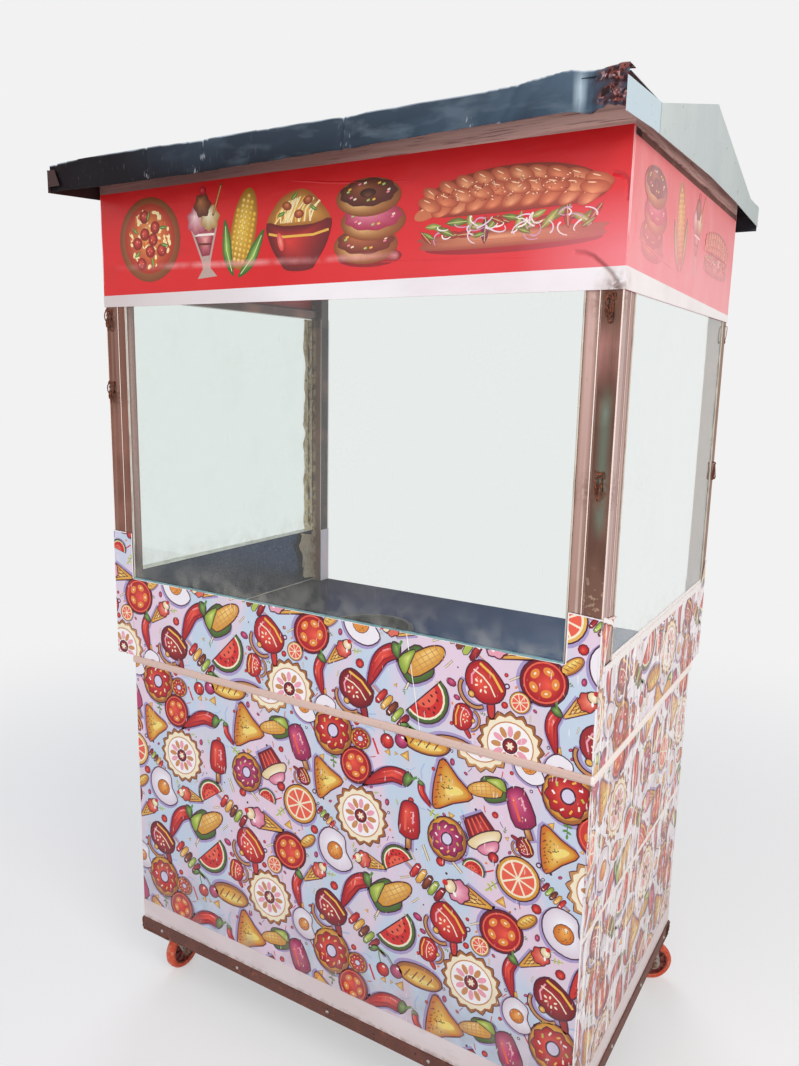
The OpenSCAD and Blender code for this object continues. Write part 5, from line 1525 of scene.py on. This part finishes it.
def head_tree():
    """A domed screw or rivet head on each point, turned to the point's facing."""
    tree, given = new_tree("fixing_heads", ("Radius", "Float"), ("Rise", "Float"), ("Sides", "Int"),
                           ("Seed", "Int"), ("Material", "Material"))
    foot = add(tree, "ShaderNodeMath", {0: given["Rise"], 1: 0.45}, operation="MULTIPLY")
    shoulder = add(tree, "ShaderNodeMath", {0: given["Radius"], 1: 0.82}, operation="MULTIPLY")
    crown = add(tree, "ShaderNodeMath", {0: given["Radius"], 1: 0.42}, operation="MULTIPLY")
    rim = add(tree, "GeometryNodeMeshCone", {"Vertices": given["Sides"], "Radius Top": shoulder,
                                             "Radius Bottom": given["Radius"], "Depth": foot})
    rest = add(tree, "ShaderNodeMath", {0: given["Rise"], 1: foot}, operation="SUBTRACT")
    dome = add(tree, "GeometryNodeMeshCone", {"Vertices": given["Sides"], "Radius Top": crown,
                                              "Radius Bottom": shoulder,
                                              "Depth": rest})
    lifted = add(tree, "ShaderNodeCombineXYZ", {"Z": foot})
    dome = add(tree, "GeometryNodeTransform", {"Geometry": dome, "Translation": lifted})
    head = add(tree, "GeometryNodeJoinGeometry")
    for part in (rim, dome):
        feed(tree, head.inputs[0], part)
    facing = add(tree, "GeometryNodeInputNamedAttribute", {"Name": "facing"}, data_type="FLOAT_VECTOR")
    turned = add(tree, "FunctionNodeAlignRotationToVector", {"Vector": facing}, axis="Z")
    spin = add(tree, "FunctionNodeRandomValue", {"Max": 6.28, "Seed": given["Seed"]}, data_type="FLOAT")
    about = add(tree, "FunctionNodeAxisAngleToRotation", {"Angle": spin.outputs[1]})
    both_turns = add(tree, "FunctionNodeRotateRotation", {0: turned, 1: about}, rotation_space="LOCAL")
    spread = add(tree, "GeometryNodeInstanceOnPoints",
                 {"Points": given["Geometry"], "Instance": head,
                                                        "Rotation": both_turns})
    return close_tree(tree, spread, given["Material"])


BEADS, HEADS = bead_tree(), head_tree()


def grown(name, tree, source, coat, **inputs):
    """A piece that a tree grows from a source mesh."""
    seed_piece = bpy.data.objects.new("source", source)
    bpy.context.scene.collection.objects.link(seed_piece)
    grow = seed_piece.modifiers.new("grow", "NODES")
    grow.node_group = tree
    keys = {s.name: s.identifier for s in tree.interface.items_tree if s.in_out == "INPUT"}
    for label, value in {**inputs, "Material": coat}.items():
        grow[keys[label]] = value
    bpy.context.view_layer.update()
    mesh = bpy.data.meshes.new_from_object(seed_piece.evaluated_get(bpy.context.evaluated_depsgraph_get()))
    bpy.data.objects.remove(seed_piece)
    mesh.name = name
    return settle(name, mesh, coat, "kiosk")


def beads(name, paths, radius, coat, step=6.0, unevenness=0.4, seed=1, sides=8):
    """Beads along paths in mm."""
    verts, edges = [], []
    for path in paths:
        edges += [(len(verts) + k, len(verts) + k + 1) for k in range(len(path) - 1)]
        verts += [Vector(p) * MM for p in path]
    source = bpy.data.meshes.new("paths")
    source.from_pydata(verts, edges, [])
    return grown(name, BEADS, source, coat, Radius=radius * MM, Step=step * MM, Unevenness=unevenness,
                 Seed=seed, Sides=sides)


def heads(name, places, radius, rise, coat, seed=1):
    """Heads at places in mm, each with its facing."""
    source = bpy.data.meshes.new("places")
    source.from_pydata([Vector(p) * MM for p, _ in places], [], [])
    source.attributes.new("facing", "FLOAT_VECTOR", "POINT").data.foreach_set(
        "vector", np.array([f for _, f in places], np.float32).ravel())
    return grown(name, HEADS, source, coat, Radius=radius * MM, Rise=rise * MM, Sides=14, Seed=seed)


# Places on the glazed frame, in mm from the frame's own boxes
def mm(vector):
    return Vector(vector) / MM


glass_low, glass_high = map(mm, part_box("glass_front"))
side_low, side_high = map(mm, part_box("glass_right"))
post_low, post_high = map(mm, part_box("post_front_right"))
rear_low, rear_high = map(mm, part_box("post_rear_right"))
counter_low, counter_high = map(mm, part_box("counter_front"))
RIM, HEAD = glass_low.z, glass_high.z
FRONT, REAR, RIGHT = (0, -1, 0), (0, 1, 0), (1, 0, 0)
BOTH_SIDES = (-1, 1)

# Sealant round the panes, on the joints of posts and jambs, and along the tray; pale strips on the posts'
# edges are painted highlights
pane_y, pane_x, inner_x = glass_low.y - 1.0, side_high.x + 0.6, side_low.x - 1.0
PANE_FOOT = RIM + 0.5
lines = [reach((s * glass_high.x, pane_y, RIM), 30, z=HEAD) for s in BOTH_SIDES]
lines += [reach((s * pane_x, y, RIM), 30, z=HEAD) for s in BOTH_SIDES for y in (side_low.y, side_high.y)]
beads("pane_sealant", lines, 1.8, SILICONE, step=16, unevenness=0.1, seed=3)
lines = [reach((glass_low.x, pane_y, PANE_FOOT), 30, x=glass_high.x)]
beads("pane_foot_edge", lines, 3.0, GLASS_EDGE, step=14, unevenness=0.2, seed=4)
lines = [reach((s * pane_x, side_low.y, PANE_FOOT), 30, y=side_high.y) for s in BOTH_SIDES]
beads("pane_foot_sealant", lines, 1.8, SILICONE, step=14, unevenness=0.3, seed=6)
lines = [reach((s * inner_x, y, RIM + 6), 30, z=HEAD) for y in (side_high.y - 2, side_low.y + 2)
         for s in BOTH_SIDES]
beads("old_inner_sealant", lines, 2.4, OLD_SEALANT, step=13, unevenness=0.85, seed=5)
# Painted highlights: pale strips along the rounded edges of posts and jambs
edges = Strips(11)
for s in BOTH_SIDES:
    for x in (post_low.x - 0.1, post_high.x - 0.4):
        edges.run(reach((s * x, post_low.y - 0.1, RIM - 6), 200, z=HEAD), FRONT, 1.9, 0.5)
    for y in (post_low.y + 1.0, post_high.y + 0.1, rear_low.y - 0.1, rear_high.y - 1.0):
        edges.run(reach((s * (post_high.x + 0.1), y, RIM + 60), 200, z=HEAD), (s, 0, 0), 1.5, 0.5)
    for x in (post_low.x - 0.1, post_high.x - 0.8):
        edges.run(reach((s * x, rear_high.y + 0.1, RIM), 200, z=HEAD), REAR, 1.5, 0.5)
    edges.run(reach((s * (post_low.x + 0.6), rear_low.y - 0.1, RIM), 200, z=HEAD), FRONT, 1.5, 0.5)
edges.made("post_edge_highlights", BRIGHT_EDGE, slot="stainless_tube")
TRAY_X, TRAY_FOOT = 605, 906
lines = [reach((s * TRAY_X, -424, TRAY_FOOT), 40, y=394) for s in BOTH_SIDES]
lines.append(reach((-TRAY_X, -425, TRAY_FOOT), 40, x=TRAY_X))
beads("tray_corner_sealant", lines, 1.6, SILICONE, step=18, unevenness=0.5, seed=7, sides=6)


# Cut film: white edges on the ears and the corner, and a tape along the side rims
white = Strips(21)
wall_x, wall_y = counter_high.x, counter_low.y
EAR_MM = 63
EAR_FRONT_MM = {-1: (1180, 1179), 1: (1159, 1163)}
EAR_SIDES = [[(wall_y + 3, 1157), (wall_y + 72, 1148), (wall_y + 40, 1131), (wall_y + 21, RIM + 2)],
             [(361, RIM + 2), (388, 1113), (397, 1119)]]
for s in BOTH_SIDES:
    inner = s * (wall_x - EAR_MM + 1)
    outer_top, inner_top = EAR_FRONT_MM[s]
    white.run(reach((inner, wall_y, RIM), z=inner_top - 1), FRONT, 2.4, 0.5, waver=0.5)
    white.run(reach((inner, wall_y, inner_top - 1), 8, x=s * wall_x, z=outer_top - 1), FRONT, 2.0, 0.6,
              waver=0.9)
    white.run(reach((s * wall_x, wall_y + 38, RIM - 6), 10, y=side_high.y, z=RIM - 5), (s, 0, 0), 13, 0.9,
              waver=1.6)
    white.run(reach((s * (wall_x - 2.2), wall_y + 66, RIM + 0.4), 12, y=side_high.y), (0, 0, 1), 6.4, 1.8,
              waver=0.5)
    white.run(reach((s * (side_high.x + 0.2), side_low.y, RIM + 5), 12, y=side_high.y), (s, 0, 0), 9, 0.6,
              waver=0.8)
    for outline in EAR_SIDES:
        for a, b in zip(outline, outline[1:]):
            white.run(between((s * wall_x, *a), (s * wall_x, *b), 8), (s, 0, 0), 2.2, 0.6, waver=0.9)
white.run(reach((-wall_x + EAR_MM, wall_y, RIM - 1), 40, x=wall_x - EAR_MM), FRONT, 1.4, 0.4, waver=0.4)
for foot, head, width in ((216, 420, 2.6), (430, 700, 3.6), (715, 850, 2.4), (876, 1040, 4.2),
                          (1046, 1150, 3.0)):
    white.run(reach((wall_x - 1.8, wall_y, foot), 9, z=head), FRONT, width, 0.5, taper=True, waver=1.4)
    white.run(reach((wall_x, wall_y + 3.4, foot + 12), 9, z=head - 20), RIGHT, width * 0.8, 0.5, taper=True,
              waver=1.2)
flap = [(wall_x, wall_y + 2, 1158), (wall_x + 1.5, wall_y + 20, 1153), (wall_x + 4, wall_y + 42, 1143),
        (wall_x + 1, wall_y + 64, 1134)]
white.run(bent(flap, 4), (1, 0, 0.3), 9, 0.7, waver=2.5)
white.run(reach((222, wall_y, RIM - 3), 12, x=257, z=874), FRONT, 1.8, 0.4, waver=0.6)
white.made("film_cut_edges", FILM_EDGE_AND_WRINKLE_HIGHLIGHT, slot="pale_tape")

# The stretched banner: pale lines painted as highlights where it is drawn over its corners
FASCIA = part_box("fascia_front")[0].y / MM
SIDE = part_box("fascia_right")[1].x / MM
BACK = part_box("fascia_rear")[1].y / MM
LOW, TALL = 1754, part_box("fascia_front")[1].z / MM - 3
folds = Strips(31)
for s in BOTH_SIDES:
    folds.run(reach((s * (SIDE - 1.3), FASCIA, LOW), 14, z=TALL), FRONT, 2.2, 0.4, taper=True, waver=0.7)
    for y in (FASCIA + 1.8, BACK - 2.5):
        folds.run(reach((s * SIDE, y, LOW), 14, z=TALL), (s, 0, 0), 3.0, 0.5, taper=True, waver=0.9)
folds.made("banner_fold_highlights", BANNER_FOLD_HIGHLIGHT, slot="red_banner")
creases = Strips(33)
for points in ([(150, 1768), (330, 1764), (450, 1760)], [(-60, 1930), (60, 1915), (200, 1905)]):
    creases.run(bent([(x, FASCIA, z) for x, z in points], 6), FRONT, 5.0, 0.7, RIDGE, taper=True, waver=0.6)
for points in ([(-380, 1790), (-260, 1775), (-120, 1764)], [(-425, 1760), (-400, 1790), (-396, 1830)]):
    creases.run(bent([(SIDE, y, z) for y, z in points], 6), RIGHT, 5.0, 0.8, RIDGE, taper=True, waver=0.6)
creases.made("banner_creases", NODES["fascia_front"].data.materials[0], slot="red_banner")

# The far rear jamb: film left on the pane beside it and on the tray wall under it, with dark blisters
residue = Strips(51)
left, rear = -side_low.x + 1.0, side_high.y - 24
residue.run(reach((left, rear, RIM + 4), 14, z=HEAD - 2), RIGHT, 42, 0.5, waver=9.0)
residue.run(bent([(left + 2, rear - 8, RIM - 8), (left + 6, rear - 14, 1020), (left + 3, rear + 3, 960),
                  (left + 7, rear, 918)], 5), RIGHT, 66, 0.5, waver=13.0)
residue.made("film_residue_strip", FILM_RESIDUE, slot="pale_tape")
lines = [reach((left + 0.5, rear + 3, RIM + 30), 30, y=rear + 1, z=HEAD - 20)]
beads("residue_blisters", lines, 4.2, OLD_SEALANT, step=11, unevenness=1.0, seed=8, sides=6)

# Long soft wrinkles in the side films, where they were pulled over the tube frame, painted white as their
# highlights
wrinkles = Strips(41)
WRINKLES_TOP = 835
rng = random.Random(8)
for s in BOTH_SIDES:
    edge = wall_x if s > 0 else -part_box("cabinet_left")[0].x / MM
    for k in range(26 if s < 0 else 80):
        y, z, lean = rng.uniform(-415, 280), rng.uniform(225, 810), rng.uniform(-14, 14)
        tall = min(rng.uniform(40, 190), WRINKLES_TOP - z)
        path = bent([(s * edge, y, z), (s * edge, y + lean * 0.6, z + tall * 0.5),
                     (s * edge, y + lean, z + tall)], 6)
        wrinkles.run(path, (s, 0, 0), rng.uniform(1.6, 4.0), rng.uniform(0.5, 1.0), RIDGE, taper=True,
                     waver=1.6)
wrinkles.made("film_wrinkle_highlights", FILM_EDGE_AND_WRINKLE_HIGHLIGHT, slot="printed_sheet")


# Bent wire: hooks and links tied to the posts, on the places that the frame's own hooks have
RING_STEPS = 14


def wire(place, shifts, steps=5, side=1):
    """A smooth bend through points given by their shifts from a place, mirrored where side is -1."""
    return bent([Vector(place) + Vector((side * x, y, z)) for x, y, z in shifts], steps)


def ring(centre, wide, tall, across):
    """A closed oval link in the plane of an across direction and the upright."""
    across = Vector(across).normalized()
    up = Vector((0, 0, 1))
    points = []
    for k in range(RING_STEPS + 1):
        a = 2 * math.pi * k / RING_STEPS
        points.append(Vector(centre) + across * (wide / 2 * cos(a)) + up * (tall / 2 * sin(a)))
    return points


def clusters(node):
    """The middles of a node's separate lumps, in mm."""
    sheet = bmesh.new()
    sheet.from_mesh(NODES[node].data)
    bmesh.ops.remove_doubles(sheet, verts=sheet.verts, dist=1e-5)
    sheet.verts.index_update()
    sheet.verts.ensure_lookup_table()
    left, found = set(range(len(sheet.verts))), []
    while left:
        lump, edge = set(), {min(left)}
        while edge:
            lump |= edge
            left -= edge
            edge = {e.other_vert(sheet.verts[k]).index for k in edge
                    for e in sheet.verts[k].link_edges} & left
        found.append(mm(sum((sheet.verts[k].co for k in sorted(lump)), Vector()) / len(lump)))
    sheet.free()
    return found


HOOK_RISE_MM = 12
HIGH_HOOKS = 1550
FRONT_BENDS = [((-6, 1, 20), (-6, -5, 19), (0, -8, 15), (6, -5, 19), (6, 1, 20)),
               ((-4, -3, 2), (-6, -5, -10), (-1, -7, -20), (5, -4, -12), (5, -3, 4))]
FRONT_TWISTS = [((-9, -1, 22), (-3, -5, 17), (7, -3, 20), (9, -2, 9)),
                ((-8, -2, 6), (-2, -4, 12), (8, -3, 8))]
SIDE_TWIST = ((-1, 0, 21), (7, -1, 19), (8, -8, 2), (7, -13, -14), (6, -8, -20), (6, -2, -15))
SIDE_BEND = ((-1, -4, 21), (6, -3, 20), (8, 0, 17), (6, 3, 20), (-1, 4, 21))
wires, thin_wires = [], []
for x, y, z in clusters("tie_hooks"):
    if y < 0:
        z += HOOK_RISE_MM if z > HIGH_HOOKS else 0
        place = (x, post_low.y, z)
        wires.append(wire(place, FRONT_BENDS[0], 4))
        wires.append(ring((x, post_low.y - 6, z + 5), 12, 26, (0.8, 0.6, 0)))
        wires.append(ring((x + 1, post_low.y - 6, z - 15), 10, 27, (0.6, -0.8, 0)))
        wires.append(wire(place, FRONT_BENDS[1]))
        thin_wires += [wire(place, twist) for twist in FRONT_TWISTS]
        continue
    s = math.copysign(1, x)
    place = (s * post_high.x, y, z)
    if z > HIGH_HOOKS:
        thin_wires.append(wire(place, SIDE_TWIST, side=s))
        continue
    wires.append(wire(place, SIDE_BEND, 4, s))
    for lean in BOTH_SIDES:
        top, half, foot = lean * 1.5, lean * 5.25, lean * 9
        wires.append(wire(place, ((6, top, 17), (6.4, half + 3.15, -1), (6.6, foot + 5.6, -19),
                                  (3.4, foot - 5.6, -19), (4.6, half - 3.15, -1), (6, top, 17)), side=s))
hooks = beads("wire_links", wires, 1.5, RUSTED_IRON, step=4, unevenness=0.2, seed=12)
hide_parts("tie_hooks")
beads("wire_twists", thin_wires, 0.9, RUSTED_IRON, step=4, unevenness=0.25, seed=13, sides=6)


# Fixings. A head sits where a line meets a node's surface
def landing(node, start, way):
    """Where a line from a start meets a node, and the way that its surface faces."""
    mesh = NODES[node].data
    skin = BVHTree.FromPolygons([v.co for v in mesh.vertices], [p.vertices for p in mesh.polygons])
    place, facing, _, _ = skin.ray_cast(Vector(start) * MM, Vector(way).normalized())
    return (tuple(place / MM), tuple(facing)) if place else None


base_low, base_high = map(mm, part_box("base_frame"))
FRAME_SCREW_Z = 147
screws = [landing("base_frame", (x, s * 900, FRAME_SCREW_Z), (0, -s, 0)) for s in BOTH_SIDES
          for x in (-485, -230, 38, 300, 540)]
screws += [landing("base_frame", (s * 900, y, FRAME_SCREW_Z), (-s, 0, 0)) for s in BOTH_SIDES
           for y in (-380, -183, 40, 250)]
heads("base_screws", [f for f in screws if f], 4.2, 2.2, ZINC_SCREWS, seed=2)
roofing = [landing("roof_sheet", (x, y, 2600), (0, 0, -1)) for y in (-500, -380, -150, 150, 320, 500)
           for x in (-590, -400, -200, 0, 200, 400, 590)]
heads("roofing_screws", [f for f in roofing if f], 6.5, 3.0, ZINC_SCREWS, seed=3)

# Welds: at the corners of the base frame, and where the castor plates join it
WELD_MM = 92
welds = []
for x in (base_low.x, base_high.x):
    for y in (base_low.y, base_high.y):
        in_x, in_y, foot = -math.copysign(1, x), -math.copysign(1, y), base_low.z - 0.2
        welds.append(reach((x, y, base_low.z + 3), 6, z=base_high.z - 3))
        welds.append(reach((x + in_x * 6, y, foot), 6, x=x + in_x * WELD_MM))
        welds.append(reach((x, y + in_y * 6, foot), 6, y=y + in_y * WELD_MM))
beads("frame_welds", welds, 2.2, RUSTED_IRON, step=3.5, unevenness=0.45, seed=9, sides=7)


# Castor wheels: a ribbed core in each side of the wheel, inside its rim
CORE_RIBS = 8
RIB_MM = 2.6
HUB_MM, CORE_RIM_MM = 12, 36
CORE_OUT_MM, CORE_WEB_MM = 10.5, 4.3


def wheel_core_mesh(name, axle, centre):
    """A dished disc with radial ribs on both sides of a wheel."""
    sheet = bmesh.new()
    turn = Vector((0, 0, 1)).rotation_difference(axle).to_matrix().to_4x4()
    section = [(HUB_MM + 0.3, CORE_WEB_MM), (HUB_MM + 0.3, CORE_OUT_MM + 1), (HUB_MM + 4, CORE_OUT_MM + 1),
               (HUB_MM + 5.5, CORE_WEB_MM + 1.4), (CORE_RIM_MM - 4, CORE_WEB_MM + 1.2),
               (CORE_RIM_MM - 2.4, CORE_OUT_MM), (CORE_RIM_MM - 0.4, CORE_OUT_MM),
               (CORE_RIM_MM - 0.4, CORE_WEB_MM)]
    steps = 40
    for side in BOTH_SIDES:
        rings = [[sheet.verts.new((r * cos(a), r * sin(a), side * h)) for r, h in section]
                 for a in (2 * math.pi * k / steps for k in range(steps))]
        for k in range(steps):
            for m in range(len(section)):
                n = (m + 1) % len(section)
                sheet.faces.new((rings[k][m], rings[(k + 1) % steps][m], rings[(k + 1) % steps][n],
                                 rings[k][n]))
        for k in range(CORE_RIBS):
            rib = bmesh.ops.create_cube(sheet, size=1.0)["verts"]
            middle, length = (HUB_MM + CORE_RIM_MM) / 2 + 0.6, CORE_RIM_MM - HUB_MM - 6
            place = (Matrix.Rotation(2 * math.pi * k / CORE_RIBS, 4, "Z")
                     @ Matrix.Translation((middle, 0, side * (CORE_WEB_MM + 3)))
                     @ Matrix.Diagonal((length, RIB_MM, 4.6, 1)))
            bmesh.ops.transform(sheet, matrix=place, verts=rib)
    bmesh.ops.recalc_face_normals(sheet, faces=sheet.faces)
    bmesh.ops.transform(sheet, matrix=Matrix.Diagonal((MM, MM, MM, 1)), verts=sheet.verts)
    bmesh.ops.transform(sheet, matrix=Matrix.Translation(centre) @ turn, verts=sheet.verts)
    mesh = bpy.data.meshes.new(name)
    sheet.to_mesh(mesh)
    sheet.free()
    return mesh


for joint in frame["record"]["behaviour"]["joints"]:
    if joint["name"].startswith("wheel_spin_"):
        corner = joint["name"].removeprefix("wheel_spin_")
        mesh = wheel_core_mesh("wheel_core_" + corner, Vector(joint["axis"]), Vector(joint["pos_m"]))
        settle(mesh.name, mesh, WHEEL_CORE, joint["child"])


# Camera, world, lamps and floor
camera_data = bpy.data.cameras.new("camera")
camera_data.sensor_width = SENSOR_MM
camera_data.lens = LENS_PX * SENSOR_MM / PHOTO_H_PX
camera = bpy.data.objects.new("camera", camera_data)
camera.location = CAMERA_AT
camera.rotation_euler = (Matrix.Rotation(math.radians(CAMERA_TURN), 4, "Z")
                         @ Matrix.Rotation(math.radians(90 + CAMERA_TILT), 4, "X")
                         @ Matrix.Rotation(math.radians(CAMERA_ROLL), 4, "Z")).to_euler()
scene = bpy.context.scene
scene.collection.objects.link(camera)
scene.camera = camera
scene.view_settings.view_transform = "Standard"

PAPER = "#F2F2F2"
world = bpy.data.worlds.new("studio")
world.use_nodes = True
scene.world = world
sky = world.node_tree
sky.nodes.clear()
rays = add(sky, "ShaderNodeLightPath").outputs
seen = add(sky, "ShaderNodeMath", {0: rays["Is Camera Ray"], 1: rays["Is Glossy Ray"]}, operation="MAXIMUM")
seen = add(sky, "ShaderNodeMath", {0: seen, 1: rays["Is Transmission Ray"]}, operation="MAXIMUM")
dim = add(sky, "ShaderNodeBackground", {"Color": colour("#E6ECF4"), "Strength": 0.42})
paper = add(sky, "ShaderNodeBackground", {"Color": colour(PAPER), "Strength": 1.0})
mixed = add(sky, "ShaderNodeMixShader", {0: seen, 1: dim, 2: paper})
add(sky, "ShaderNodeOutputWorld", {"Surface": mixed})


def softbox(name, place, aim, size, watts, tint, shines=True):
    """A square area lamp at a place, turned to its aim. Glossy surfaces show it only where it shines."""
    data = bpy.data.lights.new(name, "AREA")
    data.shape, data.size, data.energy, data.color = "SQUARE", size, watts, colour(tint)[:3]
    lamp = bpy.data.objects.new(name, data)
    lamp.visible_glossy = shines
    lamp.visible_transmission = False
    lamp.location = place
    lamp.rotation_euler = (Vector(aim) - Vector(place)).to_track_quat("-Z", "Y").to_euler()
    scene.collection.objects.link(lamp)


MIDDLE = (0.0, 0.0, 1.0)
softbox("key", (4.2, -2.2, 3.6), MIDDLE, 2.6, 135, "#FFF6EC")
softbox("front_fill", (0.2, -4.6, 2.6), MIDDLE, 3.2, 80, "#F2F5FF", False)
softbox("rear_fill", (-2.5, 4.0, 3.2), MIDDLE, 3.0, 80, "#F5F7FF", False)


def paper_floor():
    """Matt paper that takes the object's shadow. It glows a little, and further off it is the backdrop."""
    made = finish("paper_matt", "#C8C8C8", 0.95)
    tree = made.node_tree
    matt = next(n for n in tree.nodes if n.type == "BSDF_PRINCIPLED")
    end = next(n for n in tree.nodes if n.type == "OUTPUT_MATERIAL")
    seen = add(tree, "ShaderNodeLightPath").outputs["Is Diffuse Ray"]
    matt.inputs["Emission Color"].default_value = colour(PAPER)
    own = add(tree, "ShaderNodeMath", {0: 1.0, 1: seen}, operation="SUBTRACT")
    own = add(tree, "ShaderNodeMath", {0: own, 1: 0.42}, operation="MULTIPLY")
    feed(tree, matt.inputs["Emission Strength"], own)
    where = add(tree, "ShaderNodeTexCoord").outputs["Object"]
    reach = add(tree, "ShaderNodeVectorMath", {0: where}, operation="LENGTH").outputs["Value"]
    far = add(tree, "ShaderNodeMapRange", {"Value": reach, "From Min": 1.2, "From Max": 3.6},
              interpolation_type="SMOOTHSTEP")
    glow = add(tree, "ShaderNodeEmission", {"Color": colour(PAPER)})
    mix = add(tree, "ShaderNodeMixShader", {0: far, 1: matt, 2: glow})
    feed(tree, end.inputs["Surface"], mix)
    return made


FLOOR_M = 30.0
floor_mesh = bpy.data.meshes.new("floor")
corners = [(-FLOOR_M, -FLOOR_M, 0), (FLOOR_M, -FLOOR_M, 0), (FLOOR_M, FLOOR_M, 0), (-FLOOR_M, FLOOR_M, 0)]
floor_mesh.from_pydata(corners, [], [(0, 1, 2, 3)])
floor_mesh.materials.append(paper_floor())
floor = bpy.data.objects.new("floor", floor_mesh)
floor.location.z = cad_box[0].z
scene.collection.objects.link(floor)
